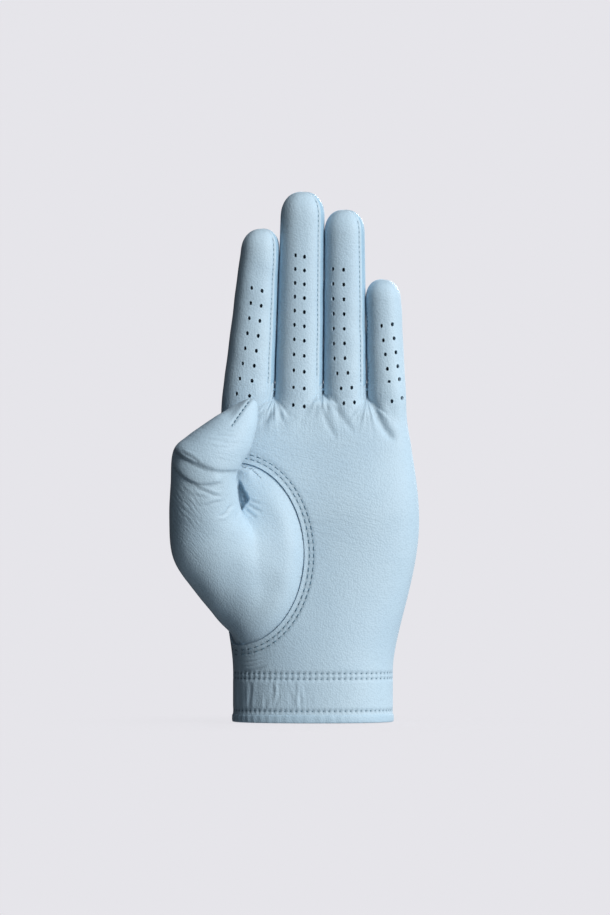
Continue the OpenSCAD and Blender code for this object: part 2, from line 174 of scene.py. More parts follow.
def back_point(x, z, lift):
    n = squareness(z)
    side = reach_side(x > 0, z) + lift
    y = (reach_deep(True, z) + lift) * (1 - (np.abs(x) / side) ** n) ** (1 / n)
    return np.stack(np.broadcast_arrays(x, y, z), -1).astype(float)


# ---- The fingers' shape ----

def root_left(widths, k):
    return np.concatenate([[0], np.cumsum(widths)])[k] + k * FINGER_GAP


def finger_middle(k, z):
    root = ROOT_SHIFT - ROOT_TOTAL / 2 + root_left(ROOT_WIDTHS, k) + ROOT_WIDTHS[k] / 2
    top = TOP_SHIFT - TOP_TOTAL / 2 + root_left(TOP_WIDTHS, k) + TOP_WIDTHS[k] / 2
    return mix(root, top, (z - ROOT_Z) / (TOP_Z - ROOT_Z))


def finger_width(k, z):
    return mix(ROOT_WIDTHS[k], TOP_WIDTHS[k], (z - ROOT_Z) / (TOP_Z - ROOT_Z))


def beside(k, a):
    """Whether a place round finger k looks towards another finger"""
    return np.where(cosine(a) > 0, np.asarray(k) < 3, np.asarray(k) > 0)


def finger_point(k, a, z, share=1.0, inset=0.0):
    up = (z - ROOT_Z) / (TOP_Z - ROOT_Z)
    e = FINGER_ROUND
    x = finger_middle(k, z) + (finger_width(k, z) / 2 - inset) * share * signed_power(cosine(a), e)
    x = x + PRESS * share * np.sign(cosine(a)) * beside(k, a) * ease((np.abs(cosine(a)) - 0.7) / 0.25)
    y = -FINGER_CURL * np.clip(up, 0, None) ** 2 + (
        mix(FINGER_D, FINGER_TOP_D, up) / 2 - inset) * share * signed_power(sine(a), e)
    return np.stack(np.broadcast_arrays(x, y, z), -1).astype(float)


def spaced(k, *breaks):
    """Angles round finger k through all the given ones, about a cell apart"""
    angles = [breaks[0]]
    for a, b in zip(breaks, breaks[1:]):
        arc = finger_point(k, np.linspace(a, b, 60), ROOT_Z)
        steps = max(1, round(np.linalg.norm(np.diff(arc, axis=0), axis=1).sum() / CELL))
        angles.extend(np.linspace(a, b, steps + 1)[1:])
    return np.array(angles)


FRONT_COMB = [
    (0, spaced(0, FOLD_A, OUTER_A, 354)), (1, spaced(1, 186, INNER_A, OUTER_A, 354)),
    (2, spaced(2, 186, INNER_A, OUTER_A, 354)), (3, spaced(3, 186, INNER_A, 360 + SEAM_A)),
]
BACK_COMB = [
    (3, spaced(3, SEAM_A, FOLD_A, 174)), (2, spaced(2, 6, SEAM_A, FOLD_A, 174)),
    (1, spaced(1, 6, SEAM_A, FOLD_A, 174)), (0, spaced(0, 6, SEAM_A, FOLD_A)),
]


def comb_places(comb):
    """The finger and the angle of each point across a comb"""
    k = np.concatenate([np.full(len(a), finger) for finger, a in comb])
    return k, np.concatenate([angles for _, angles in comb])


def comb_row(comb, z):
    """Points across the hand's front or back at a height: the hand's own curve, turning into four fingers"""
    k, a = comb_places(comb)
    fingers = finger_point(k, a, z)
    if z >= ROOT_Z + 1:
        return fingers
    front = comb is FRONT_COMB
    low, high = (FOLD_A, 360 + SEAM_A) if front else (SEAM_A, FOLD_A)
    samples = np.linspace(low, high, 600)
    curve = hand_point(samples, min(z, ROOT_Z))
    length = run_length(curve)
    hand = hand_point(np.interp(np.linspace(0, length[-1], len(k)), length, samples), min(z, ROOT_Z))
    hand[:, 2] = z
    right = cosine(a) > 0
    valley = np.clip(np.where(right, k, k - 1), 0, 2)
    between = beside(k, a)
    start = np.array(CROTCH_Z)[valley] - 6
    floor = np.where(between, FORK_D * (1 - ease((z - start) / (ROOT_Z + 1 - start)) ** 1.1), 0)
    deep = np.maximum(np.abs(fingers[:, 1]), floor)
    fingers[:, 1] = np.where(between, (-deep if front else deep), fingers[:, 1])
    w = ease((z - FORK_Z) / (ROOT_Z - FORK_Z))
    return mix(hand, fingers, w)


# ---- Meshes ----

def in_scene(name, data):
    made = bpy.data.objects.new(name, data)
    bpy.context.scene.collection.objects.link(made)
    return made


def primitive(add, **settings):
    """The object that one of Blender's primitives makes, alone in the selection"""
    bpy.ops.object.select_all(action="DESELECT")
    add(**settings)
    return bpy.context.object


def grid_faces(rows, cols):
    r, c = np.meshgrid(np.arange(rows - 1), np.arange(cols - 1), indexing="ij")
    at = (r * cols + c).ravel()
    return np.stack([at, at + 1, at + cols + 1, at + cols], -1)


def vertex_normals(points, faces):
    across = points[faces[:, 2]] - points[faces[:, 0]]
    up = points[faces[:, 3]] - points[faces[:, 1]]
    flat = np.cross(across, up)
    total = np.zeros_like(points)
    for corner in range(4):
        np.add.at(total, faces[:, corner], flat)
    return total / np.maximum(np.linalg.norm(total, axis=1, keepdims=True), 1e-12)


def cut_out(points, faces, share, target):
    """Deletes the faces where share() is under 1 and moves the cut's edge onto target()'s curve"""
    middle = points[faces].mean(1)
    keep = share(middle) >= 1
    cut_edge = np.intersect1d(faces[~keep].ravel(), faces[keep].ravel())
    faces = faces[keep]
    if len(cut_edge):
        points[cut_edge] = target(points[cut_edge], vertex_normals(points, faces)[cut_edge])
    return points, faces


def oval_hole(cx, cz, rx, rz):
    """A punched hole, as the two functions that cut_out takes"""
    def share(p):
        return np.hypot((p[:, 0] - cx) / rx, (p[:, 2] - cz) / rz)

    def target(p, normal):
        r = np.maximum(share(p), 0.2)
        moved = p.copy()
        moved[:, 0] = cx + (p[:, 0] - cx) / r
        moved[:, 2] = cz + (p[:, 2] - cz) / r
        slope = normal[:, 0] * (moved[:, 0] - p[:, 0]) + normal[:, 2] * (moved[:, 2] - p[:, 2])
        moved[:, 1] = p[:, 1] - slope / np.where(np.abs(normal[:, 1]) < 0.3, 1, normal[:, 1])
        return moved
    return share, target


def make_object(name, points, faces, material, thickness=LEATHER_T, offset=-1.0, masks=None):
    """A piece from points in millimetres, with the wall's thickness added by a Solidify modifier"""
    used = np.unique(faces[faces >= 0]) if isinstance(faces, np.ndarray) else np.arange(len(points))
    renumber = np.zeros(len(points), int)
    renumber[used] = np.arange(len(used))
    face_list = [[renumber[v] for v in dict.fromkeys(f)] for f in faces.tolist()] \
        if isinstance(faces, np.ndarray) else faces
    mesh = bpy.data.meshes.new(name)
    mesh.from_pydata((points[used] * MM).tolist(), [], face_list)
    mesh.polygons.foreach_set("use_smooth", [True] * len(mesh.polygons))
    for mask, values in (masks or {}).items():
        layer = mesh.attributes.new(mask, "FLOAT", "POINT")
        layer.data.foreach_set("value", np.asarray(values, np.float32)[used])
    mesh.materials.append(material)
    mesh.update()
    if thickness:
        edge_of_corner = np.zeros(len(mesh.loops), int)
        mesh.loops.foreach_get("edge_index", edge_of_corner)
        mesh.edges.foreach_set("use_edge_sharp", np.bincount(edge_of_corner, minlength=len(mesh.edges)) == 1)
    piece = in_scene(name, mesh)
    if thickness:
        wall = piece.modifiers.new("wall", "SOLIDIFY")
        wall.thickness = thickness * MM
        wall.offset = offset
    return piece


def finish_piece(piece, nodes, body=None, bend=None):
    """Hides the parts from model.glb that the piece stands for and parents it to its body's empty; a piece
    given a bend only has its transform baked into its mesh
    """
    if bend:
        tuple(bend[2])
        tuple(bend[3])
        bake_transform(piece)
    else:
        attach(piece, body)
    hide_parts(*nodes)
    return piece


# ---- Folds, puckers and gathers in the leather ----

def rounded(path):
    """A path with its corners cut twice, so that it runs in a curve"""
    path = np.asarray(path, float)
    for _ in range(2 if len(path) > 2 else 0):
        near, far = mix(path[:-1], path[1:], 0.25), mix(path[:-1], path[1:], 0.75)
        middle = np.stack([near, far], 1).reshape(-1, 2)
        path = np.concatenate([path[:1], middle[1:-1], path[-1:]])
    return path


def along_path(x, z, path):
    """Distance to a path on the palm side, the side that a point is on, and how far along it lies"""
    path = rounded(path)
    best = np.full(x.shape, 1e9)
    side, along, length = np.zeros(x.shape), np.zeros(x.shape), 0.0
    for (x0, z0), (x1, z1) in zip(path, path[1:]):
        dx, dz = x1 - x0, z1 - z0
        span = math.hypot(dx, dz)
        t = np.clip(((x - x0) * dx + (z - z0) * dz) / span ** 2, 0, 1)
        ex, ez = x - x0 - t * dx, z - z0 - t * dz
        d = np.hypot(ex, ez)
        closer = d < best
        side = np.where(closer, np.sign(dx * ez - dz * ex), side)
        along = np.where(closer, length + t * span, along)
        best = np.minimum(best, d)
        length += span
    return best, side, along, length


def fold(x, z, path, width, depth, lip=0.0, fade=4.0):
    """A groove along a path, with a soft roll on the left of the way it runs"""
    d, side, along, length = along_path(x, z, path)
    ends = ease(along / fade) * ease((length - along) / fade)
    roll = lip * np.exp(-((d - 2.2 * width) / (1.6 * width)) ** 2) * np.clip(side * d / width, 0, 1)
    return ends * (roll - depth * np.exp(-(d / width) ** 2))


def overlap(x, z, path, lip, drop, soft, fade=3.0):
    """A crease where the leather on the left of a path rolls over the leather on its right"""
    d, side, along, length = along_path(x, z, path)
    ends = ease(along / fade) * ease((length - along) / fade)
    over = 0.5 + 0.5 * np.tanh(side * d / 0.4)
    return ends * mix(-drop * np.exp(-d / soft), lip * np.exp(-((d - 1.2) / 3.2) ** 2), over)


def smooth_noise(x, z, size, seed):
    """Slow random heights from -1 to 1, made of a few waves"""
    rng = np.random.default_rng(seed)
    total = np.zeros(x.shape)
    for _ in range(7):
        turn, phase = rng.uniform(0, math.pi), rng.uniform(0, 2 * math.pi)
        step = 2 * math.pi / (size * rng.uniform(0.7, 1.5))
        total += np.sin(step * (x * math.cos(turn) + z * math.sin(turn)) + phase)
    return total / 4


def crotch_puckers(x, z, cx, cz, spread, seed):
    """Pleats that fan down from between two fingers"""
    dx, dz = x - cx, cz + 1.5 - z
    d = np.hypot(dx, dz)
    turn = np.arctan2(dx, dz)
    sway = 1.8 * smooth_noise(x, z, 14, seed)
    pleats = 0.6 * np.sin(turn * spread + sway + seed) + 0.45 * np.sin(1.9 * turn * spread - sway)
    strength = np.exp(-((d - 6) / 6) ** 2) * ease((d - 1.0) / 3) * ease((1.3 - np.abs(turn)) / 0.5)
    return 0.2 * strength * pleats


def crotch_x(gap):
    edges = finger_middle(gap, ROOT_Z) + ROOT_WIDTHS[gap] / 2
    return edges + FINGER_GAP / 2


SEAM_ROWS = (2.0, 3.8)   # how far outside the oval's edge its two rows of stitches run
STITCH_PITCH = 2.9
CUFF_ROWS = (18.4, 20.5)
HEM_ROW = 5.0


def oval_share(x, z, a=None):
    """1 on the oval seam, less inside it. Past its middle it follows the hand round to the side"""
    q = (z - OVAL_Z) / OVAL_RZ
    a = hand_angle(x, z) if a is None else a
    middle = hand_angle(np.full_like(z, OVAL_X), z)
    p = np.where(a > middle, (x - OVAL_X) / OVAL_RX, (a - middle) / (middle - OVAL_SIDE_A))
    return p, q


def palm_relief(x, z):
    """Height of the palm leather over its plain shape"""
    total = 0.16 * smooth_noise(x, z, 26, 3) * ease((z - 24) / 20)
    for gap, spread in enumerate((15, 13, 14)):
        total += crotch_puckers(x, z, crotch_x(gap), CROTCH_Z[gap], spread, gap + 1)
    total += fold(x, z, ((24.6, 133), (27, 126), (30.5, 120.5), (35, 116)), 1.5, 0.75, 0.7, 5)
    total += fold(x, z, ((3.5, 131), (6, 124), (10, 117)), 1.2, 0.3, 0.25, 5)
    total += fold(x, z, ((8, 133), (12.5, 126), (18, 119)), 1.2, 0.28, 0.2, 5)
    total += fold(x, z, ((-16, 132), (-19.5, 126), (-22, 122)), 1.3, 0.5, 0.35, 4)
    total += fold(x, z, ((-14.5, 131), (-13, 124)), 0.9, 0.25, 0.2, 3)
    # gathers of the cuff, which the elastic draws up
    sway = 1.3 * smooth_noise(x, z * 0.5, 9, 8)
    patch = 0.65 + 0.5 * smooth_noise(x * 1.6, z * 0.7, 11, 9)
    pull = ease((z - 5) / 3) * ease((18.5 - z) / 4) * ease((9 - x) / 30) * patch
    total += pull * (0.09 * np.sin(2.7 * x + 1.6 * sway) + 0.12 * np.sin(1.5 * x + 2.4 * sway + 1))
    total += pull * 0.03 * np.sin(4.1 * x - 2 * sway)
    total += 0.28 * np.exp(-((x + 6.2 - 0.4 * sway) / 0.6) ** 2) * ease((z - 5) / 5) * ease((21 - z) / 8)
    # pinched leather under the lower end of the oval
    for step in range(5):
        top = 31.5 - 1.8 * step
        path = ((-33, top - 2), (-28, top - 3), (-22, top - 1.5), (-18, top))
        total += fold(x, z, path, 0.65, 0.46, 0.36, 5)
    return total


def sewn_rows(x, z):
    """How near a point is to a row of stitches on the palm, from 0 to 1"""
    near = np.zeros(x.shape)
    for row in (*CUFF_ROWS, HEM_ROW):
        near = np.maximum(near, np.exp(-((z - row) / 0.75) ** 2))
    p, q = oval_share(x, z)
    out = (np.hypot(p, q) - 1) * np.hypot(OVAL_RX * q, OVAL_RZ * p) / np.maximum(np.hypot(p, q), 0.1)
    for row in SEAM_ROWS:
        near = np.maximum(near, np.exp(-((out - row) / 0.7) ** 2) * ease((z - 26) / 4))
    return near


def thumb_relief(x, z):
    """Height of the thumb leather over its plain shape"""
    total = 0.2 * smooth_noise(x, z, 18, 5)
    total += overlap(
        x, z, ((-58, 114), (-55.2, 111.4), (-51.6, 109), (-47.3, 107.5), (-42.1, 105.2), (-38.3, 104.4),
               (-29, 104.8)), 0.55, 0.65, 1.6, 2)
    total += fold(x, z, ((-54.5, 112.4), (-51, 110.9), (-48.2, 109.2), (-45.8, 107.2)), 0.45, 0.3, 0.2, 3)
    total += fold(x, z, ((-52.5, 108.2), (-47.5, 105.9), (-42, 103.6)), 0.5, 0.25, 0.15, 3)
    total += overlap(
        x, z, ((-59, 108.5), (-57, 106), (-55.3, 103.8), (-52.4, 101.4), (-49.2, 99.6), (-45.4, 98.8),
               (-41, 99.4), (-36.5, 100.6)), 0.55, 0.65, 1.8, 4)
    total += fold(x, z, ((-50.5, 98.4), (-45.4, 96.7), (-41.1, 94.6), (-36.6, 94)), 0.6, 0.34, 0.25, 4)
    total += fold(x, z, ((-47, 89.6), (-43.5, 90.6), (-40.2, 91.8), (-35.5, 92.2)), 0.5, 0.26, 0.2, 4)
    total += fold(x, z, ((-50.5, 94.6), (-46.5, 94.2), (-43, 92.8)), 0.5, 0.18, 0.12, 3)
    for low_x, high_x, level in (
        (-44, -31, 114.6), (-40, -28.6, 116.4), (-46, -33, 117.5), (-41, -29.4, 119.3), (-38, -30, 121.2),
        (-36, -31.5, 122.6),
    ):
        middle = 0.5 * (low_x + high_x)
        total += fold(
            x, z, ((low_x, level + 0.7), (middle, level - 0.5), (high_x, level + 0.2)), 0.42, 0.15, 0.1, 4)
    # pleats that run out of the pocket's lower left corner
    total += fold(x, z, ((-32.4, 91), (-34.8, 89.2), (-36, 86.8), (-39.5, 85.6)), 0.55, 0.42, 0.3, 2.5)
    total += fold(x, z, ((-30.5, 88.6), (-31.6, 86), (-31.8, 82.5)), 0.6, 0.22, 0.15, 2.5)
    # fine creases that run down from the outer side of the thumb
    sway = smooth_noise(x, z, 13, 41)
    across = 0.777 * x + 0.631 * z + 0.9 * sway
    zone = ease((-43.5 - x) / 8) * ease((z - 76) / 10) * ease((98.5 - z + 0.35 * (x + 55)) / 4)
    lines = 0.5 * np.sin(3.3 * across) + 0.35 * np.sin(5.1 * across + 2 * sway)
    lines += 0.3 * np.sin(2.1 * across + 3 * sway)
    total += 0.14 * zone * lines * (0.7 + 0.5 * smooth_noise(x, z, 8, 43))
    return total


PIT = ((-30.9, 101.6), (-33.2, 91.2), (-29.8, 87.9), (-26.3, 92.6))


def pit_depth(x, z):
    """How far a point lies inside the pocket beside the thumb"""
    inside = np.full(x.shape, 1e9)
    for (x0, z0), (x1, z1) in zip(PIT, PIT[1:] + PIT[:1]):
        dx, dz = x1 - x0, z1 - z0
        inside = np.minimum(inside, ((z - z0) * dx - (x - x0) * dz) / math.hypot(dx, dz))
    return inside


def thumb_pit(x, z):
    """The dark pocket between the thumb and the palm, and the pleats that run out of it"""
    total = -2.6 * ease((pit_depth(x, z) + 0.3 + 0.25 * smooth_noise(x, z, 3.5, 47)) / 1.6)
    total += fold(x, z, ((-30.6, 97.5), (-29.6, 93.5), (-28.2, 90)), 0.4, -0.9, 0, 1.5)
    for path in (((-28, 91.2), (-25.2, 89.4), (-20.5, 87)), ((-28.6, 89.4), (-26, 86.8), (-22.4, 84.4)),
                 ((-27.2, 92.2), (-24, 91.4), (-20.8, 90.6))):
        total += fold(x, z, path, 0.5, 0.32, 0.2, 2.5)
    return total


# ---- Materials ----

def feed(tree, socket, value):
    """Gives a socket its value, or links it to the output that feeds it"""
    if isinstance(value, bpy.types.NodeSocket):
        tree.links.new(value, socket)
    else:
        socket.default_value = value


def fill(tree, node, inputs):
    for name, value in inputs.items():
        feed(tree, node.inputs[name], value)


def shader_node(tree, kind, inputs=None, **settings):
    """A shader node with its settings, and with values or other nodes' outputs on its inputs"""
    made = tree.nodes.new(kind)
    for name, value in settings.items():
        setattr(made, name, value)
    fill(tree, made, inputs or {})
    return made


def maths(tree, operation, *values, kind="ShaderNodeMath"):
    return shader_node(tree, kind, dict(enumerate(values)), operation=operation).outputs[0]


def noise(tree, vector, scale, detail=2.0, distortion=0.0):
    return shader_node(tree, "ShaderNodeTexNoise", {
        "Vector": vector, "Scale": scale, "Detail": detail, "Distortion": distortion})


def map_range(tree, value, low, high, to_low=0.0, to_high=1.0, **settings):
    return shader_node(tree, "ShaderNodeMapRange", {
        "Value": value, "From Min": low, "From Max": high, "To Min": to_low, "To Max": to_high,
    }, **settings).outputs["Result"]


def bump(tree, height, distance):
    return shader_node(tree, "ShaderNodeBump", {"Height": height, "Distance": distance}).outputs["Normal"]


def wave(tree, vector, scale, distortion, way):
    return shader_node(
        tree, "ShaderNodeTexWave", {"Vector": vector, "Scale": scale, "Distortion": distortion},
        wave_type="BANDS", bands_direction=way).outputs["Fac"]


def attribute(tree, name):
    return shader_node(tree, "ShaderNodeAttribute", attribute_name=name).outputs["Fac"]


def object_place(tree):
    return shader_node(tree, "ShaderNodeTexCoord").outputs["Object"]


def new_group(name, inputs, outputs):
    """A node group with inputs (name, type, value) and number outputs, and its two end nodes"""
    group = bpy.data.node_groups.new(name, "ShaderNodeTree")
    for label, kind, value in inputs:
        group.interface.new_socket(label, in_out="INPUT", socket_type=kind).default_value = value
    for label in outputs:
        group.interface.new_socket(label, in_out="OUTPUT", socket_type="NodeSocketFloat")
    return group, shader_node(group, "NodeGroupInput"), shader_node(group, "NodeGroupOutput")


def hide_grain_group():
    """Fine pebbled grain of thin sheep leather, with its pores and its slow change of tone"""
    group, ins, outs = new_group(
        "hide_grain", [("Cells", "NodeSocketFloat", 1300.0)], ("Height", "Tone", "Pores"))
    place = object_place(group)
    warp = noise(group, place, 420).outputs["Color"]
    bent = maths(group, "MULTIPLY_ADD", warp, (0.0006, 0.0006, 0.0006), place, kind="ShaderNodeVectorMath")
    cells = shader_node(
        group, "ShaderNodeTexVoronoi", {"Vector": bent, "Scale": ins.outputs["Cells"]}, feature="F1")
    distance = cells.outputs["Distance"]
    height = maths(group, "MULTIPLY_ADD", distance, -0.9, 0.6)
    for scale, detail, share in ((3600, 2, 0.25), (260, 3, 0.8)):
        speckle = noise(group, place, scale, detail).outputs["Fac"]
        height = maths(group, "MULTIPLY_ADD", speckle, share, height)
    tone = noise(group, place, 38, 5).outputs["Fac"]
    fill(group, outs, {"Height": height, "Tone": tone, "Pores": map_range(group, distance, 0.45, 0.75)})
    return group


def drawn_lines_group():
    """Fine lines where the leather is drawn one way: noise stretched along a direction"""
    group, ins, outs = new_group(
        "drawn_lines",
        [("Turn", "NodeSocketVector", (0, 0, 0)), ("Stretch", "NodeSocketVector", (1, 1, 1)),
         ("Amount", "NodeSocketFloat", 0.0)],
        ("Height",))
    turned = shader_node(
        group, "ShaderNodeVectorRotate", {"Vector": object_place(group), "Rotation": ins.outputs["Turn"]},
        rotation_type="EULER_XYZ").outputs["Vector"]
    drawn = maths(group, "MULTIPLY", turned, ins.outputs["Stretch"], kind="ShaderNodeVectorMath")
    lines = noise(group, drawn, 1.0, 3, 0.35).outputs["Fac"]
    fill(group, outs, {"Height": maths(group, "MULTIPLY", lines, ins.outputs["Amount"])})
    return group


def fold_shade_ridge_light_group():
    """Painted shade in the folds and a painted highlight on the ridges, from the shape of the surface"""
    group, ins, outs = new_group(
        "fold_shade_ridge_light", [("Low", "NodeSocketFloat", 0.44), ("High", "NodeSocketFloat", 0.56)],
        ("Ridges", "Folds"))
    shape = shader_node(group, "ShaderNodeNewGeometry").outputs["Pointiness"]
    for name, end in (("Ridges", "High"), ("Folds", "Low")):
        fill(group, outs, {name: map_range(group, shape, 0.5, ins.outputs[end])})
    return group


HIDE_GRAIN = hide_grain_group()
DRAWN_LINES = drawn_lines_group()
FOLD_SHADE_RIDGE_LIGHT = fold_shade_ridge_light_group()
LINE_HEIGHT = 3.0        # how much the drawn lines add to the height of the grain
ROUGH_SPREAD = 0.07      # how far the leather's roughness wanders from its mean


def new_material(name):
    material = bpy.data.materials.new(name)
    material.use_nodes = True
    tree = material.node_tree
    return material, tree, tree.nodes["Principled BSDF"]


def colour_mix(tree, factor, low, high):
    """A mix of two colours, each a colour or another node's output"""
    made = shader_node(tree, "ShaderNodeMix", {0: factor}, data_type="RGBA")
    for socket, value in zip([s for s in made.inputs if s.type == "RGBA"], (low, high)):
        feed(tree, socket, (*value, 1) if isinstance(value, tuple) else value)
    return [s for s in made.outputs if s.type == "RGBA"][0]


def shaded(colour, share):
    return tuple(min(1, c * share) for c in colour)


def leather_material(name, light, deep, roughness, relief, cells):
    """Dyed leather: two tones and pores, with painted shade in folds and at stitches and a painted highlight
    on ridges
    """
    material, tree, skin = new_material(name)
    grain = shader_node(tree, "ShaderNodeGroup", {"Cells": cells}, node_tree=HIDE_GRAIN)
    fold_light = shader_node(tree, "ShaderNodeGroup", node_tree=FOLD_SHADE_RIDGE_LIGHT)
    tone = grain.outputs["Tone"]
    colour = colour_mix(tree, map_range(tree, tone, 0.32, 0.68), deep, light)
    # Pores darken the colour; then painted shade in the folds, a painted highlight on the ridges, and
    # painted shade at needle holes and sunk places
    for where, share, tint in (
        (grain.outputs["Pores"], 0.16, shaded(deep, 0.62)),
        (fold_light.outputs["Folds"], 0.55, shaded(deep, 0.5)),
        (fold_light.outputs["Ridges"], 0.22, shaded(light, 1.22)),
        (attribute(tree, "sewn"), 0.45, shaded(deep, 0.55)),
    ):
        colour = colour_mix(tree, maths(tree, "MULTIPLY", where, share), colour, tint)
    height = grain.outputs["Height"]
    for mask, degrees, stretch in (
        ("waves", -14, (130, 130, 1150)),
        ("gathers", 0, (1100, 200, 110)),
        ("creases", -51, (150, 150, 1250)),
    ):
        lines = shader_node(tree, "ShaderNodeGroup", {
            "Turn": (0, math.radians(degrees), 0), "Stretch": stretch, "Amount": attribute(tree, mask),
        }, node_tree=DRAWN_LINES)
        height = maths(tree, "MULTIPLY_ADD", lines.outputs["Height"], LINE_HEIGHT, height)
    fill(tree, skin, {
        "Base Color": colour, "Normal": bump(tree, height, relief),
        "Roughness": map_range(tree, tone, 0, 1, roughness - ROUGH_SPREAD, roughness + ROUGH_SPREAD),
        "Sheen Weight": 0.12, "Sheen Roughness": 0.45, "Specular IOR Level": 0.38})
    return material


def thread_material():
    """Spun polyester thread: a fine twist and a little gloss"""
    material, tree, skin = new_material("sewing_thread")
    twist = wave(tree, object_place(tree), 1500, 1.5, "DIAGONAL")
    fill(tree, skin, {
        "Base Color": colour_mix(tree, twist, (0.05, 0.13, 0.205), (0.10, 0.235, 0.34)),
        "Normal": bump(tree, twist, 0.00008), "Roughness": 0.55, "Sheen Weight": 0.2})
    return material


def woven_material(name, light, deep, scale, relief):
    """Woven tape: warp and weft from two crossed waves, with fuzz over them"""
    material, tree, skin = new_material(name)
    place = object_place(tree)
    crossed = maths(tree, "MULTIPLY", wave(tree, place, scale, 0.8, "X"), wave(tree, place, scale, 0.8, "Z"))
    height = maths(tree, "ADD", crossed, noise(tree, place, scale * 2.2).outputs["Fac"])
    fill(tree, skin, {
        "Base Color": colour_mix(tree, height, deep, light), "Normal": bump(tree, height, relief),
        "Roughness": 0.8, "Sheen Weight": 0.4})
    return material


LEATHER = leather_material("glove_leather", (0.485, 0.645, 0.765), (0.44, 0.60, 0.73), 0.56, 0.0001, 1350)
# A darker copy of the glove leather: painted shade for the fourchettes and the saddles that sit in the gaps
# between the fingers
SHADED_SIDE_LEATHER = leather_material("side_leather", (0.34, 0.53, 0.68), (0.30, 0.48, 0.63), 0.55, 0.00014, 1500)
BINDING_LEATHER = leather_material(
    "binding_leather", (0.44, 0.61, 0.74), (0.40, 0.565, 0.70), 0.5, 0.0001, 1600)
THREAD = thread_material()
ELASTIC = woven_material("elastic_tape", (0.80, 0.83, 0.86), (0.60, 0.65, 0.70), 700, 0.00015)
LOOP_TAPE = woven_material("loop_tape", (0.36, 0.50, 0.60), (0.22, 0.34, 0.44), 900, 0.00025)
HOOK_TAPE = woven_material("hook_tape", (0.42, 0.55, 0.64), (0.30, 0.42, 0.52), 800, 0.0001)


# ---- Sewing ----

def stitch_shape():
    """One stitch as a small round bead, which stitch_row() draws out to its length"""
    bead = primitive(bpy.ops.mesh.primitive_uv_sphere_add, segments=8, ring_count=6, radius=1)
    points = np.array([v.co for v in bead.data.vertices])
    points = points[:, [2, 0, 1]]
    faces = [list(p.vertices) for p in bead.data.polygons]
    bpy.data.objects.remove(bead)
    return points, faces


BEAD, BEAD_FACES = stitch_shape()


def surface_at(points, normals, spots, front=True):
    """The points of a surface at places (x, z), on the palm side or the back, with their normals"""
    facing = np.where((normals[:, 1] < 0.15) == front)[0]
    near = [facing[np.argmin((points[facing, 0] - x) ** 2 + (points[facing, 2] - z) ** 2)] for x, z in spots]
    placed = points[near].copy()
    n = normals[near]
    dx, dz = np.array(spots)[:, 0] - placed[:, 0], np.array(spots)[:, 1] - placed[:, 2]
    ny = np.where(np.abs(n[:, 1]) < 0.3, 1e9, n[:, 1])
    placed += np.stack([dx, -(n[:, 0] * dx + n[:, 2] * dz) / ny, dz], -1)
    return placed, n


def stitch_row(name, centres, normals, length, radius=0.27):
    """Stitches along a row of places, sunk into the leather at both ends. Also returns the needle holes"""
    ahead = np.roll(centres, -1, 0) - np.roll(centres, 1, 0)
    ahead[0], ahead[-1] = centres[1] - centres[0], centres[-1] - centres[-2]
    ahead -= normals * (ahead * normals).sum(1, keepdims=True)
    ahead /= np.linalg.norm(ahead, axis=1, keepdims=True)
    across = np.cross(normals, ahead)
    half = length / 2
    u = np.sign(BEAD[:, 0]) * (half - radius) + BEAD[:, 0] * radius
    v = BEAD[:, 1] * radius
    w = BEAD[:, 2] * radius * 0.9 - 0.25 * radius - 0.9 * radius * (np.abs(u) / half) ** 2
    points, faces = [], []
    for i, (place, n, t, s) in enumerate(zip(centres, normals, ahead, across)):
        points.append(place + np.outer(u, t) + np.outer(v, s) + np.outer(w, n))
        faces.extend([[v + i * len(BEAD) for v in f] for f in BEAD_FACES])
    row = make_object(name, np.concatenate(points), faces, THREAD, thickness=0)
    holes = np.concatenate([centres - ahead * half, centres + ahead * half])
    return row, holes


def punch_dimples(points, normals, holes, depth=0.3, size=0.55):
    """Presses the leather in at the needle holes, and returns how near each point is to one"""
    near = np.zeros(len(points))
    low, high = holes.min(0) - 3, holes.max(0) + 3
    close = np.where(((points > low) & (points < high)).all(1))[0]
    for start in range(0, len(close), 4000):
        part = close[start:start + 4000]
        gaps = np.linalg.norm(points[part, None] - holes[None], axis=2).min(1)
        near[part] = np.exp(-(gaps / size) ** 2)
    points -= normals * (near * depth)[:, None]
    return near


def evenly(path, pitch):
    """Places a pitch apart along a path of (x, z) points"""
    path = np.asarray(path, float)
    length = run_length(path)
    marks = np.arange(pitch / 2, length[-1], pitch)
    return np.stack([np.interp(marks, length, path[:, i]) for i in range(path.shape[1])], -1)


# ---- Perforations ----

def perforations():
    """Middles of the punched holes, two columns down each finger"""
    spots = []
    s = np.linspace(0, 1, 8)
    spots += [(x, z) for x, z in zip(-25.5 - 6.2 * s ** 1.5, 180.4 - 43.9 * s)]
    spots += [(x, z) for x, z in zip(-21.1 - 5.2 * s ** 1.4, 179.2 - 43.6 * s)]
    s = np.linspace(0, 1, 11)
    middle_z = 193.9 - 57 * s - 5.1 * s ** 4
    spots += [(x, z) for x, z in zip(-7.3 - 0.9 * s, middle_z)]
    spots += [(x, z - 0.6) for x, z in zip(-3.5 - 0.1 * s, middle_z)]
    s = np.linspace(0, 1, 10)
    spots += [(x, z) for x, z in zip(8.2 + 0.7 * s + 4 * ease((s - 0.62) / 0.42), 188.3 - 55.8 * s)]
    spots += [(x, z) for x, z in zip(12.7 + 0.7 * s + 4 * ease((s - 0.62) / 0.42), 187.9 - 55 * s)]
    s = np.array([0, 0.19, 0.38, 0.57, 0.745, 1.0])
    spots += [(x, z) for x, z in zip(28.4 + 4.4 * s, 164.6 - 31.2 * s)]
    spots += [(x, z) for x, z in zip(33.0 + 4.0 * s, 165.3 - 30.6 * s)]
    return spots


HOLE_RX, HOLE_RZ = 0.64, 0.92


def punch_perforations(points, faces, low, high):
    for x, z in perforations():
        if low < z < high:
            points, faces = cut_out(points, faces, *oval_hole(x, z, HOLE_RX, HOLE_RZ))
    return points, faces


# ---- Hand ----

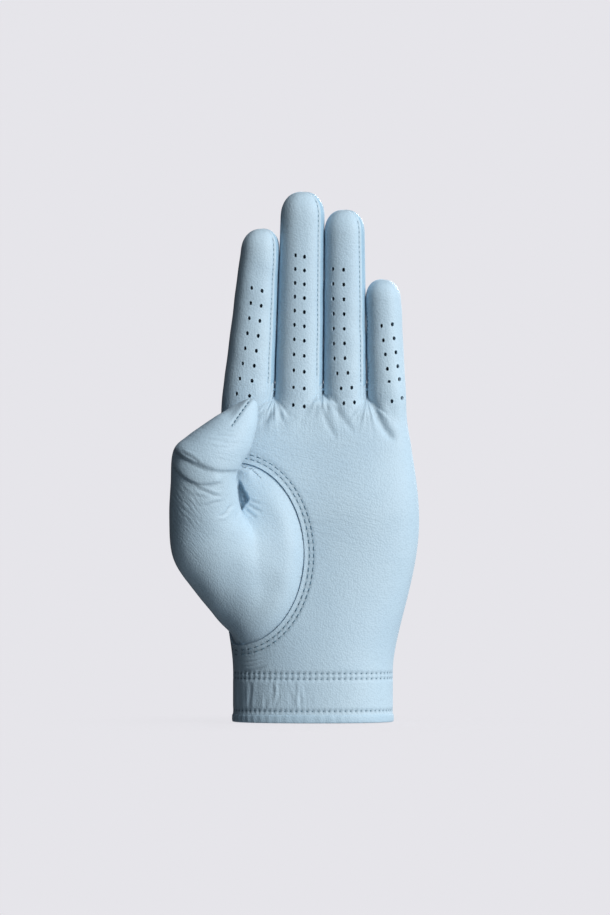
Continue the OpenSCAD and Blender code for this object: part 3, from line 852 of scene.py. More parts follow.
def hand_turn(p):
    """Angle round the hand of points on its surface"""
    e = squareness(p[:, 2]) / 2
    c = signed_power(p[:, 0] / reach_side(p[:, 0] > 0, p[:, 2]), e)
    s = signed_power(p[:, 1] / reach_deep(p[:, 1] > 0, p[:, 2]), e)
    return np.degrees(np.arctan2(s, c)) % 360


def thumb_hole():
    """The oval that the thumb is set into, as the two functions that cut_out takes"""
    def share(p):
        return np.hypot(*oval_share(p[:, 0], p[:, 2], hand_turn(p)))

    def target(p, normal):
        u, q = oval_share(p[:, 0], p[:, 2], hand_turn(p))
        r = np.hypot(u, q)
        u, z = u / r, OVAL_Z + OVAL_RZ * q / r
        middle = hand_angle(np.full_like(z, OVAL_X), z)
        a = np.where(u > 0, hand_angle(OVAL_X + OVAL_RX * u, z), middle + u * (middle - OVAL_SIDE_A))
        return hand_point(a, z)
    return share, target


def hand_grid(comb):
    steps = round((BORDER_Z - PANEL_LOW) / CELL)
    heights = np.linspace(PANEL_LOW, BORDER_Z, steps + 1)
    rows = [comb_row(comb, z) for z in heights]
    rows.append(finger_point(*comb_places(comb), BORDER_Z + CELL, 1.0, TUCK))
    return np.concatenate(rows), grid_faces(len(rows), len(rows[0]))


def comb_seam(comb, count, z):
    """Groove and raised edge of the finger seams where they run on below the border"""
    k, a = comb_places(comb)
    rows = count // len(a)
    k, a = np.tile(k, rows), np.tile(a, rows)
    inside = np.radians(OUTER_A - a) * ROOT_WIDTHS[k] / 2
    edge = np.where((k < 3) & (inside > -2) & (inside < 4), seam_profile(inside), 0)
    return edge * ease((z - 131.5) / 4)


def seam_profile(inside):
    """Height of the leather near a finger seam, by the distance inside its edge"""
    groove = -0.24 * np.exp(-((inside - 1.05) / 0.45) ** 2)
    roll = 0.16 * np.exp(-((inside - 0.25) / 0.4) ** 2)
    step = -0.35 * ease(-inside / 0.6)
    return groove + roll + step


def oval_path(offset, low, high):
    """Places along the oval seam at a distance outside it, between two angles of the oval"""
    t = np.linspace(low, high, 200)
    z = OVAL_Z + (OVAL_RZ + offset) * sine(t)
    middle = hand_angle(np.full_like(z, OVAL_X), z)
    round_side = hand_point(middle + cosine(t) * (middle - OVAL_SIDE_A), z)[:, 0]
    x = np.where(cosine(t) < 0, round_side, OVAL_X + (OVAL_RX + offset) * cosine(t))
    return list(zip(x, z))


def cuff_spots(z, pitch):
    """Places round the palm side of the cuff at a height, a pitch apart"""
    a = np.linspace(FOLD_A + 4, 360 + SEAM_A - 4, 400)
    return evenly(hand_point(a, z), pitch)


def outward(points, tree_points, tree_normals):
    near = [np.argmin(((tree_points - p) ** 2).sum(1)) for p in points]
    return tree_normals[near]


def onto_skin(spots, points, normals):
    """Moves places onto a surface along its normals, which it also returns"""
    n = outward(spots, points, normals)
    on_skin = outward(spots, points, points)
    return spots + n * ((on_skin - spots) * n).sum(1, keepdims=True), n


def palm_panel():
    points, faces = hand_grid(FRONT_COMB)
    plain = points.copy()
    seam = comb_seam(FRONT_COMB, len(points), points[:, 2])
    points, faces = cut_out(points, faces, *thumb_hole())
    points, faces = punch_perforations(points, faces, 0, BORDER_Z)
    normals = vertex_normals(points, faces)
    x, z = plain[:, 0], plain[:, 2]
    front = ease(-plain[:, 1] / 6)
    # Nearness to the rows of stitches; here it only sinks the leather a little and paints no colour
    sewn = sewn_rows(x, z) * front
    lift = palm_relief(x, z) * front * ease((z - 3) / 3) + seam - 0.16 * sewn
    points += normals * lift[:, None]
    normals = vertex_normals(points, faces)
    # Painted shade at the needle holes of the oval seam and the cuff rows, kept on the mesh for the
    # leather's colour
    shade = np.zeros(len(points))
    for name, offset in zip(("thumb_seam_thread_inner", "thumb_seam_thread_outer"), SEAM_ROWS):
        spots = evenly(oval_path(offset, -114, 88), STITCH_PITCH)
        row, holes = stitch_row(name, *surface_at(points, normals, spots), 1.75, 0.21)
        finish_piece(row, [name], "hand")
        shade = np.maximum(shade, punch_dimples(points, normals, holes))
    for name, height, pitch in (
        ("cuff_thread_upper", CUFF_ROWS[1], 2.45), ("cuff_thread_lower", CUFF_ROWS[0], 2.45),
        ("hem_thread", HEM_ROW, 2.3),
    ):
        spots, n = onto_skin(cuff_spots(height, pitch), points, normals)
        row, _ = stitch_row(name, spots - 0.3 * n, n, 1.0, 0.27)
        finish_piece(row, [name], "hand")
        shade = np.maximum(shade, punch_dimples(points, normals, spots, 0.42, 0.75))
    wave_zone = ease((x + 34) / 12) * ease((34 - x) / 14) * front
    wave_zone *= ease((z - 60) / 20) * ease((128 - z) / 16)
    gather_zone = 0.6 * ease((z - 4) / 3) * ease((20 - z) / 4) * ease((14 - x) / 30) * front
    crotch_zone = ease((z - 108) / 18) * front
    panel = make_object("palm_panel", points, faces, LEATHER, masks={
        "sewn": shade, "waves": 0.55 * wave_zone, "gathers": np.maximum(gather_zone, 0.45 * crotch_zone)})
    finish_piece(panel, ["palm_panel"], "hand")


def back_relief(x, z):
    total = 0.2 * smooth_noise(x, z, 26, 11) * ease((z - 30) / 20)
    for gap, spread in enumerate((10, 9, 10)):
        total += 0.6 * crotch_puckers(x, z, crotch_x(gap), CROTCH_Z[gap] + 1, spread, gap + 6)
    for step in range(4):
        level = 92 + 7.5 * step
        total += fold(x, z, ((-24, level), (0, level + 1.5), (22, level - 1)), 1.4, 0.14, 0.1, 9)
    return total


SLIT_TOP, SLIT_LOW, SLIT_HIGH, BINDING_W = 56.0, 5.5, 0.8, 2.6


def slit_half(z):
    return mix(SLIT_LOW, SLIT_HIGH, np.clip(z / SLIT_TOP, 0, 1))


def back_panel():
    points, faces = hand_grid(BACK_COMB)

    def share(p):
        return np.where(p[:, 2] < SLIT_TOP, np.abs(p[:, 0]) / slit_half(p[:, 2]), 2)

    def target(p, normal):
        low = p[:, 2] < SLIT_TOP - CELL
        x = np.where(low, np.sign(p[:, 0]) * slit_half(p[:, 2]), p[:, 0])
        return back_point(x, np.where(low, p[:, 2], SLIT_TOP), 0.0)
    points, faces = cut_out(points, faces, share, target)
    normals = vertex_normals(points, faces)
    x, z = points[:, 0], points[:, 2]
    turn = hand_turn(points)
    inward = ease((FOLD_A - turn) / 14) * ease((turn - SEAM_A) / 14)
    lift = back_relief(x, z) * ease((z - 3) / 3) * ease((np.abs(x) - 4) / 6 + (z - 62) / 6) * inward
    points += normals * lift[:, None]
    panel = make_object("back_panel", points, faces, LEATHER, masks={
        "gathers": 0.4 * ease((z - 110) / 18), "waves": 0.35 * ease((z - 66) / 16) * ease((126 - z) / 14)})
    finish_piece(panel, ["back_panel"], "hand")


def crotch_web():
    """Small saddles of leather that close the hand between neighbouring fingers"""
    points, faces = [], []
    u, v = np.meshgrid(np.linspace(-1, 1, 9), np.linspace(-1, 1, 15))
    for gap in range(3):
        x = crotch_x(gap) - 1.5 * u
        y = 3.2 * v
        z = ROOT_Z + 0.3 + 0.5 * u ** 2 - 0.5 * v ** 2
        faces.append(grid_faces(15, 9) + 135 * gap)
        points.append(np.stack([x, y, z], -1).reshape(-1, 3))
    # The saddles take the leather painted darker as shade for the gaps between the fingers
    web = make_object("crotch_web", np.concatenate(points), np.concatenate(faces), SHADED_SIDE_LEATHER)
    finish_piece(web, ["crotch_web"], "hand")


# ---- Fingers ----

def finger_rows(k):
    """Heights of a finger's rows, with how far each has rounded in towards the tip"""
    dome_h = finger_width(k, TIP_Z[k]) * 0.62
    dome = TIP_Z[k] - dome_h
    straight = np.linspace(BORDER_Z, dome, round((dome - BORDER_Z) / CELL) + 1)
    turn = np.linspace(0, 90, round(1.5 * dome_h / CELL))[1:]
    t = sine(turn) ** FINGER_ROUND
    heights = np.concatenate([[BORDER_Z - CELL], straight, dome + dome_h * t])
    shares = np.concatenate([np.ones(len(straight) + 1), np.maximum(cosine(turn), 0) ** FINGER_ROUND])
    return heights, shares


def finger_grid(k, angles, inset):
    heights, shares = finger_rows(k)
    rows = [finger_point(k, angles, z, share, inset + (TUCK if z < BORDER_Z else 0))
            for z, share in zip(heights, shares)]
    points = np.concatenate(rows)
    faces = grid_faces(len(rows), len(angles))
    tip = (len(rows) - 1) * len(angles)
    return points, np.where(faces >= tip, tip, faces)


def finger_bend(k):
    """Where a finger's pieces start and stop bending between the hand and the finger"""
    x = finger_middle(k, ROOT_Z) * MM
    return "hand", FINGERS[k], (x, 0, BORDER_Z * MM), (x, 0, (BORDER_Z + BEND_H) * MM)


def finger_piece(name, k, angles, inset, material, edge=None, holes=False):
    points, faces = finger_grid(k, angles, inset)
    plain = points.copy()
    a = np.tile(angles, len(points) // len(angles))
    if holes:
        points, faces = punch_perforations(points, faces, BORDER_Z, TOP_Z)
    normals = vertex_normals(points, faces)
    x, z = plain[:, 0], plain[:, 2]
    up = ease((z - BORDER_Z) / 4)
    lift = 0.13 * smooth_noise(x + 40 * k, z, 16, 20 + k) * up
    if holes:
        lift = lift + palm_relief(x, z) * (1 - up) * ease(-plain[:, 1] / 6)
    if material is SHADED_SIDE_LEATHER:
        share = np.repeat(finger_rows(k)[1], len(angles))
        sides = ease((np.abs(cosine(a)) - 0.72) / 0.2) * ease((z - BORDER_Z + 1) / 3)
        lift = 0.3 * lift + 0.36 * share * sides
    if edge is not None:
        inside = np.radians(edge - a) * finger_width(k, z) / 2
        lift = lift + np.where(inside < 4, seam_profile(np.maximum(inside, 0)), 0)
    points += normals * lift[:, None]
    masks = {"gathers": 0.25 * (1 - ease((z - 140) / 25))}
    seam = None
    if edge is not None:
        normals = vertex_normals(points, faces)
        top = TIP_Z[k] - 4
        low = CROTCH_Z[k] + 7
        heights = np.arange(low, top, 2.05)
        share = np.interp(heights, *finger_rows(k))
        centres, n = onto_skin(finger_point(k, edge - 7.2, heights, share), points, normals)
        seam, needle = stitch_row(f"{FINGERS[k]}_seam_thread", centres, n, 1.25, 0.2)
        # Painted shade at the seam's needle holes
        masks["sewn"] = 0.8 * punch_dimples(points, normals, needle, 0.15, 0.5)
    piece = make_object(name, points, faces, material, masks=masks)
    finish_piece(piece, [name], bend=finger_bend(k))
    if seam:
        finish_piece(seam, [f"{FINGERS[k]}_seam_thread"], bend=finger_bend(k))


def comb_angles(comb, k, low, high):
    angles = dict(comb)[k]
    return angles[(angles >= low - 1e-6) & (angles <= high + 1e-6)]


def finger(k):
    name = FINGERS[k]
    front_low = FOLD_A if k == 0 else INNER_A
    front_high = 360 + SEAM_A if k == 3 else OUTER_A
    finger_piece(
        f"{name}_front", k, comb_angles(FRONT_COMB, k, front_low, front_high), 0, LEATHER,
        edge=None if k == 3 else OUTER_A, holes=True)
    finger_piece(f"{name}_back", k, comb_angles(BACK_COMB, k, SEAM_A, FOLD_A), 0, LEATHER)
    # The fourchettes take the leather painted darker as shade for the gaps between the fingers
    if k > 0:
        side = "fourchette" if k == 3 else "inner_fourchette"
        finger_piece(
            f"{name}_{side}", k, spaced(k, FOLD_A - 1, INNER_A + 1), 0.3, SHADED_SIDE_LEATHER)
    if k < 3:
        side = "fourchette" if k == 0 else "outer_fourchette"
        finger_piece(
            f"{name}_{side}", k, spaced(k, OUTER_A - 1, 360 + SEAM_A + 1), 0.3, SHADED_SIDE_LEATHER)
    if k == 3:
        heights = np.arange(BORDER_Z, TIP_Z[k] - 4, 1.75)
        share = np.interp(heights, *finger_rows(k))
        centres = finger_point(k, INNER_A + 8, heights, share)
        n = centres - finger_point(k, INNER_A + 8, heights, share * 0.5)
        n /= np.linalg.norm(n, axis=1, keepdims=True)
        seam, _ = stitch_row(f"{name}_seam_thread", centres, n, 1.25, 0.2)
        finish_piece(seam, [f"{name}_seam_thread"], bend=finger_bend(k))


# ---- Thumb ----

def smooth_rings(rings, steps):
    """Thumb rings with a smooth curve run through them"""
    table = np.array([[*c, w, d, lean] for c, w, d, lean in rings], float)
    padded = np.concatenate([[2 * table[0] - table[1]], table, [2 * table[-1] - table[-2]]])
    out = []
    for i in range(1, len(padded) - 2):
        for t in np.arange(steps) / steps:
            a, b, c, d = padded[i - 1:i + 3]
            out.append(0.5 * (2 * b + (c - a) * t + (2 * a - 5 * b + 4 * c - d) * t ** 2
                              + (3 * b - a - 3 * c + d) * t ** 3))
    out.append(table[-1])
    return np.array(out)


def closed_loft(name, rings):
    """A closed solid through rings of points"""
    n = len(rings[0])
    points = np.concatenate(rings)
    faces = []
    for r in range(len(rings) - 1):
        low, high = r * n, (r + 1) * n
        faces.extend([low + i, low + (i + 1) % n, high + (i + 1) % n, high + i] for i in range(n))
    faces.append(list(range(n))[::-1])
    faces.append([(len(rings) - 1) * n + i for i in range(n)])
    mesh = bpy.data.meshes.new(name)
    mesh.from_pydata(points.tolist(), [], faces)
    return in_scene(name, mesh)


UNDERLAP = 0.9           # how far the thumb leather lies under the palm's surface
BALL_H = 10.5            # how far the ball of the hand swells over the palm


def settle_ball(body):
    """Draws the leather smoothly from the oval seam over the ball of the hand to the thumb"""
    places = np.array([v.co for v in body.data.vertices])
    x, y, z = places.T
    share = np.hypot(*oval_share(x, z, hand_turn(places)))
    low = (y < 0) & (x > -40) & (share < 1)
    side = np.minimum(np.abs(x) / reach_side(False, z), 0.999)
    palm_y = -reach_deep(False, z) * (1 - side ** squareness(z)) ** (1 / squareness(z))
    dome = palm_y + UNDERLAP - BALL_H * (1 - share ** 2) * ease((98 - z) / 26)
    gap = np.clip(1 - np.abs(y - dome) / 10, 0, 1)
    filled = np.minimum(y, dome) - 2.5 * gap ** 2
    y = np.where(low, mix(y, filled, ease((x + 40) / 8) * ease((1 - share) / 0.1)), y)
    body.data.vertices.foreach_set("co", np.stack([x, y, z], -1).ravel())
    weight = ease((x + 54) / 12) * ease((1.0 - share) / 0.12) * ease((92 - z) / 7) * ease((-2 - y) / 6)
    upper = ease((x + 27) / 5) * ease((1.0 - share) / 0.06) * ease((-2 - y) / 6)
    weight = np.maximum(weight, upper)
    group = body.vertex_groups.new(name="ball")
    for level in range(1, 11):
        chosen = np.where(np.round(weight * 10) == level)[0]
        group.add(chosen.tolist(), level / 10, "REPLACE")
    draw = body.modifiers.new("draw", "SMOOTH")
    draw.factor = 0.9
    draw.iterations = 120
    draw.vertex_group = "ball"
    bpy.ops.object.modifier_apply(modifier="draw")


def thumb_body():
    """The thumb and the ball of the hand as one skin: both solids are joined and remeshed"""
    turns = np.arange(0, 360, 5.0)
    tube = []
    for x, y, z, w, d, lean in smooth_rings(THUMB_RINGS, 5):
        across = np.outer(cosine(turns) * w, [cosine(lean), 0, -sine(lean)])
        tube.append(np.array([x, y, z]) + across + np.outer(sine(turns) * d, [0, 1, 0]))
    turns = np.arange(0, 360, 3.0)
    core = [hand_point(turns, z, UNDERLAP) for z in np.arange(24, 118, 2.0)]
    bpy.ops.object.select_all(action="DESELECT")
    parts = [closed_loft("thumb_leather", tube), closed_loft("ball", core)]
    for part in parts:
        part.select_set(True)
    body = parts[0]
    bpy.context.view_layer.objects.active = body
    bpy.ops.object.join()
    remesh = body.modifiers.new("skin", "REMESH")
    remesh.mode = "VOXEL"
    remesh.voxel_size = 0.62
    bpy.ops.object.modifier_apply(modifier="skin")
    soften = body.modifiers.new("soften", "SMOOTH")
    soften.factor = 0.5
    soften.iterations = 14
    bpy.ops.object.modifier_apply(modifier="soften")
    settle_ball(body)
    points = np.zeros(len(body.data.vertices) * 3)
    body.data.vertices.foreach_get("co", points)
    faces = np.array([list(p.vertices) for p in body.data.polygons if len(p.vertices) == 4])
    bpy.data.objects.remove(body)
    return points.reshape(-1, 3), faces


def proud_of_hand(p):
    """How far points stand off the hand's core, roughly in millimetres"""
    n = squareness(p[:, 2])
    rx = reach_side(p[:, 0] > 0, p[:, 2]) - UNDERLAP
    ry = reach_deep(p[:, 1] > 0, p[:, 2]) - UNDERLAP
    size = ((np.abs(p[:, 0]) / rx) ** n + (np.abs(p[:, 1]) / ry) ** n) ** (1 / n)
    return (size - 1) * np.hypot(p[:, 0], p[:, 1]) / np.maximum(size, 0.1)


THUMB_SPLIT = 101.0


def thumb():
    points, faces = thumb_body()
    middle = points[faces].mean(1)
    share, _ = thumb_hole()
    keep = ((proud_of_hand(middle) > 1.3) | (share(middle) < 1.1)) & (middle[:, 2] > 27)
    keep &= (middle[:, 1] < 16)
    faces = faces[keep]
    normals = vertex_normals(points, faces)
    x, z = points[:, 0].copy(), points[:, 2].copy()
    within = share(points)
    stands = ease((proud_of_hand(points) - 0.8) / 3)
    front = ease((0.35 - normals[:, 1]) / 0.6)
    filled = 1 - ease((proud_of_hand(points) - 0.5) / 9)
    rise = filled * UNDERLAP * ease((0.975 - within) / 0.28)
    outer = ease((-0.02 - normals[:, 1]) / 0.5)
    pocket = front * (1 - ease((proud_of_hand(points) - 7) / 5))
    creases = thumb_relief(x, z) * outer * stands + thumb_pit(x, z) * pocket * ease((104 - z) / 3)
    points += normals * (rise + creases)[:, None]
    normals = vertex_normals(points, faces)
    path = [(-33.6, 122.6), (-31.0, 126.6), (-28.2, 130.6), (-25.6, 134.2)]
    spots = evenly(path, 1.9)
    centres, n = surface_at(points, normals, spots)
    row, holes = stitch_row("thumb_tip_seam_thread", centres, n, 1.4, 0.22)
    d, side, along, _ = along_path(x, z, path)
    groove = np.exp(-(d / 0.5) ** 2) * ease(along / 2) * front
    turned = ease((side * d - 0.2) / 4) * ease(along / 6) * front
    points -= normals * (0.35 * groove + 0.8 * turned)[:, None]
    # Painted shade along the tip seam's groove, at its needle holes and down in the pocket beside the thumb
    sewn = np.maximum(groove * 0.8, punch_dimples(points, normals, holes, 0.15, 0.5))
    sewn = np.maximum(sewn, ease((pit_depth(x, z) + 0.2) / 0.7) * pocket * (z < 103))
    left = ease((-38 - x) / 12) * ease((z - 60) / 20) * ease((103 - z) / 6) * front
    across = ease((z - 104) / 6) * ease((129 - z) / 8) * front
    masks = {"sewn": sewn, "creases": 0.8 * left, "waves": 0.55 * across}
    bend = ("hand", "thumb", (-0.045, -0.027, THUMB_SPLIT * MM), (-0.0438, -0.0296, 0.1135))
    tube = proud_of_hand(points[faces].mean(1)) > 2.5
    height = points[faces][:, :, 2]
    above = tube & (height.max(1) > THUMB_SPLIT)
    below = ~(tube & (height.min(1) > THUMB_SPLIT))
    for name, kept, nodes, up in (
        ("thumb_panel", below, ["thenar_panel", "thumb_tube"], -1), ("thumb_tip", above, ["thumb_tip"], 1),
    ):
        part = faces[kept | lapped(faces, kept)]
        lap = np.clip(up * (THUMB_SPLIT - points[:, 2]), 0, 1) * (proud_of_hand(points) > 2.5)
        piece = make_object(name, points - normals * (TUCK * 1.5 * lap)[:, None], part, LEATHER, masks=masks)
        if up < 0:
            finish_piece(piece, nodes, "hand")
        else:
            finish_piece(piece, nodes, bend=bend)
    finish_piece(row, ["thumb_tip_seam_thread"], bend=bend)


def lapped(faces, kept):
    """The faces that touch the kept ones, which lap under the neighbouring piece"""
    touched = np.zeros(faces.max() + 1, bool)
    touched[faces[kept].ravel()] = True
    return touched[faces].any(1)


# ---- Cuff ----

def slit_angle(z, margin):
    """Angle at which the back of the hand meets the slit's edge at a height"""
    share = (slit_half(z) + margin) / (CUFF_W / 2)
    return np.degrees(np.arccos(share ** (squareness(z) / 2)))


def sweep(name, rings, material):
    """A solid swept through closed rings of points, with its ends closed, smoothed by one subdivision"""
    n, count = len(rings[0]), len(rings)
    points = np.concatenate(rings)
    faces = []
    for r in range(count - 1):
        s = r + 1
        faces.extend([r * n + i, r * n + (i + 1) % n, s * n + (i + 1) % n, s * n + i] for i in range(n))
    faces.append(list(range(n)))
    faces.append([(count - 1) * n + i for i in range(n)])
    piece = make_object(name, points, faces, material, thickness=0)
    bpy.ops.object.select_all(action="DESELECT")
    piece.select_set(True)
    bpy.context.view_layer.objects.active = piece
    bpy.ops.object.mode_set(mode="EDIT")
    bpy.ops.mesh.select_all(action="SELECT")
    bpy.ops.mesh.normals_make_consistent(inside=False)
    bpy.ops.object.mode_set(mode="OBJECT")
    smooth = piece.modifiers.new("smooth", "SUBSURF")
    smooth.levels = smooth.render_levels = 1
    return piece


def hem_binding():
    profile = (
        (-0.1, 0.06), (-0.28, 0.35), (-0.36, 1.0), (-0.37, 2.0), (-0.33, 2.8), (-0.2, 3.3), (-0.06, 3.4),
        (-0.08, 3.1), (-0.08, 0.85), (1.5, 0.8), (2.95, 0.85), (2.95, 3.6), (3.2, 3.95), (3.55, 3.8),
        (3.75, 2.6), (3.75, 1.0), (3.5, 0.3), (3.0, 0.02), (1.2, 0.0),
    )
    low = slit_angle(2.0, 0.15)
    rings = []
    for a in np.linspace(180 - low, 360 + low, 260):
        pull = 0.07 * math.sin(a * 0.9) * (1 if 180 < a < 290 else 0.3)
        rings.append(np.concatenate([hand_point(a, CUFF_H / 2, inset - pull)[None] for inset, _ in profile]))
        rings[-1][:, 2] = [z for _, z in profile]
    finish_piece(sweep("hem_binding", rings, BINDING_LEATHER), ["hem_binding"], "hand")


def cuff_facing():
    low = slit_angle(2.0, 0.1)
    angles = np.linspace(180 - low, 360 + low, 200)
    heights = np.linspace(0.9, CUFF_H - 1, 16)
    rows = [hand_point(angles, CUFF_H / 2, 2.0) + [0, 0, z - CUFF_H / 2] for z in heights]
    facing = make_object("cuff_facing", np.concatenate(rows), grid_faces(16, 200), LEATHER)
    finish_piece(facing, ["cuff_facing"], "hand")


def slit_binding():
    profile = (
        (0.1, -0.85), (-0.25, -0.6), (-0.42, 0.0), (-0.2, 0.55), (0.4, 0.8), (1.3, 0.9), (2.1, 0.78),
        (2.6, 0.4), (2.6, 0.08), (1.3, 0.05), (0.1, 0.04),
    )
    route = [((-1, 0), (-slit_half(z), z)) for z in np.linspace(HEM_H + 0.2, SLIT_TOP, 90)]
    route += [((-cosine(t), sine(t)), (-SLIT_HIGH * cosine(t), SLIT_TOP + SLIT_HIGH * sine(t)))
              for t in np.linspace(6, 174, 30)]
    route += [((1, 0), (slit_half(z), z)) for z in np.linspace(SLIT_TOP, HEM_H + 0.2, 90)]
    rings = []
    for (dx, dz), (x, z) in route:
        rings.append(np.array([back_point(x + dx * v, z + dz * v, w) for v, w in profile]))
    finish_piece(sweep("slit_binding", rings, BINDING_LEATHER), ["slit_binding"], "hand")


def back_normals(centres):
    n = centres * [1 / CUFF_W ** 2, 1 / CUFF_D ** 2, 0]
    return n / np.linalg.norm(n, axis=1, keepdims=True)


def slit_bar_tack():
    """A short bar of close stitches over the top of the slit"""
    z = SLIT_TOP + BINDING_W + 1.6
    xs = np.linspace(-2.6, 2.6, 13)
    centres = back_point(xs, z, 0.12)
    n = back_normals(centres)
    row, _ = stitch_row("slit_bar_tack", centres, n, 0.62, 0.24)
    tall = np.array([v.co for v in row.data.vertices]) / MM
    tall[:, 2] = z + (tall[:, 2] - z) * 3.6
    for vertex, place in zip(row.data.vertices, tall):
        vertex.co = place * MM
    finish_piece(row, ["slit_bar_tack"], "hand")


# ---- Closure ----

TAB_Z, TAB_W, HINGE_X, TAB_END, TAB_CORNER, ANCHOR_W = 13.0, 27.0, 17.0, -24.0, 8.0, 6.0
HOOK_W, PAD_T, PAD_MARGIN, JOINT_GAP, SEAM_GAP = 10.0, 0.9, 4.0, 0.3, 0.1
HOOK_LIFT = SEAM_GAP + PAD_T + JOINT_GAP
TAB_LIFT = HOOK_LIFT + PAD_T + SEAM_GAP


def tab_stand(x):
    stand = mix(JOINT_GAP + SEAM_GAP, TAB_LIFT, ease((HINGE_X - x) / 14))
    return stand - JOINT_GAP * ease((x - HINGE_X) / 3)


def tab_trim(x, r=TAB_CORNER):
    d = np.clip((x - TAB_END) / r, 0, 1)
    return r - r * np.sqrt(np.maximum(0, 1 - (1 - d) ** 2))


def tab_bend():
    """The closure folds over a few millimetres either side of its hinge line"""
    return "hand", "tab", ((HINGE_X + 2.2) * MM, 0.02, 0.026), ((HINGE_X - 2.6) * MM, 0.02, 0.026)


def closure_tab():
    xs = np.concatenate([
        np.linspace(HINGE_X + ANCHOR_W, TAB_END + TAB_CORNER, 62),
        TAB_END + TAB_CORNER * (1 - sine(np.linspace(4, 88, 22))),
    ])
    rows = []
    for u in np.linspace(0, 1, 44):
        trim = tab_trim(xs)
        z = mix(TAB_Z + trim, TAB_Z + TAB_W - trim, u)
        width = TAB_W - 2 * trim
        edge = np.minimum(np.minimum(u, 1 - u) * width, np.minimum(xs - TAB_END, HINGE_X + ANCHOR_W - xs))
        lift = tab_stand(xs) + LEATHER_T - 0.3 * np.exp(-(edge / 0.5) ** 2)
        lift -= 0.18 * np.exp(-((edge - TAB_SEWN) / 0.5) ** 2)
        lift += 0.12 * smooth_noise(xs, z, 15, 31) * ease(edge / 3)
        rows.append(back_point(xs, z, lift))
    points, faces = np.concatenate(rows), grid_faces(44, len(xs))
    normals = vertex_normals(points, faces)
    low = [(x, TAB_Z + TAB_SEWN) for x in np.linspace(HINGE_X - 3, TAB_END + TAB_CORNER, 30)]
    corner = TAB_CORNER - TAB_SEWN
    low += [(TAB_END + TAB_SEWN + corner * (1 - sine(t)), TAB_Z + TAB_SEWN + corner * (1 - cosine(t)))
            for t in np.linspace(8, 90, 12)]
    path = low + [(x, 2 * TAB_Z + TAB_W - z) for x, z in reversed(low)]
    row, holes = stitch_row("tab_thread", *surface_at(points, normals, evenly(path, 2.6), False), 1.9, 0.25)
    finish_piece(row, ["tab_thread"], "tab")
    # Painted shade at the needle holes of the tab's stitching
    sewn = punch_dimples(points, normals, holes, 0.2)
    box = [(HINGE_X + 3.2, TAB_Z + TAB_SEWN), (HINGE_X + ANCHOR_W - 1.4, TAB_Z + TAB_SEWN),
           (HINGE_X + ANCHOR_W - 1.4, TAB_Z + TAB_W - TAB_SEWN), (HINGE_X + 3.2, TAB_Z + TAB_W - TAB_SEWN),
           (HINGE_X + 3.2, TAB_Z + TAB_SEWN)]
    centres, n = surface_at(points, normals, evenly(box, 2.5), False)
    row, holes = stitch_row("anchor_thread", centres, n, 1.8, 0.25)
    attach(row, "hand")
    sewn = np.maximum(sewn, punch_dimples(points, normals, holes, 0.2))
    tab = make_object("closure_tab", points, faces, LEATHER, masks={"sewn": sewn})
    finish_piece(tab, ["closure_tab", "tab_anchor"], bend=tab_bend())


def pad_base(name, start, end, margin, lift, thickness, material):
    """A tape pad: a thin plate with softened edges that follows the back of the cuff"""
    xs, zs = np.linspace(start, end, 14), np.linspace(TAB_Z + margin, TAB_Z + TAB_W - margin, 20)
    rows = [back_point(xs, z, lift + thickness) for z in zs]
    pad = make_object(name, np.concatenate(rows), grid_faces(20, 14), material, thickness)
    soft = pad.modifiers.new("soft_edge", "BEVEL")
    soft.width = 0.0001
    soft.segments = 2
    return pad


def small_hook():
    """One hook of the hook tape: a stem that bends over at its end, modelled once"""
    stem = primitive(
        bpy.ops.mesh.primitive_cylinder_add, vertices=6, radius=0.09, depth=0.3, location=(0, 0, 0.15))
    bpy.ops.object.mode_set(mode="EDIT")
    bpy.ops.mesh.select_all(action="DESELECT")
    bpy.ops.object.mode_set(mode="OBJECT")
    for face in stem.data.polygons:
        face.select = face.normal.z > 0.9
    bpy.ops.object.mode_set(mode="EDIT")
    for dx, dz in ((0.04, 0.1), (0.1, 0.06), (0.12, -0.03)):
        bpy.ops.mesh.extrude_region_move(TRANSFORM_OT_translate={"value": (dx, 0, dz)})
        bpy.ops.transform.resize(value=(0.88, 0.88, 0.88))
    bpy.ops.object.mode_set(mode="OBJECT")
    bpy.context.view_layer.update()
    points = np.array([stem.matrix_world @ v.co for v in stem.data.vertices])
    faces = [list(p.vertices) for p in stem.data.polygons]
    bpy.data.objects.remove(stem)
    return points, faces


def small_loop():
    """One loop of the loop tape: half a thin ring, modelled once"""
    ring = primitive(
        bpy.ops.mesh.primitive_torus_add, major_segments=10, minor_segments=4, major_radius=0.26,
        minor_radius=0.045)
    points = np.array([v.co for v in ring.data.vertices])[:, [0, 2, 1]]
    faces = [list(p.vertices)[::-1] for p in ring.data.polygons]
    bpy.data.objects.remove(ring)
    return points * [1, 1, 1.25], faces


def scatter(name, shape, places, normals, material, spin):
    """Copies of a small shape, each standing on its place and turned by its own angle"""
    base, base_faces = shape
    points, faces = [], []
    for i, (place, n, turn) in enumerate(zip(places, normals, spin)):
        side = np.cross([0, 0, 1], n)
        side /= np.linalg.norm(side)
        up = np.cross(n, side)
        u = math.cos(turn) * side + math.sin(turn) * up
        v = np.cross(n, u)
        points.append(place + base[:, :1] * u + base[:, 1:2] * v + base[:, 2:3] * n)
        faces.extend([[index + i * len(base) for index in f] for f in base_faces])
    return make_object(name, np.concatenate(points), faces, material, thickness=0)


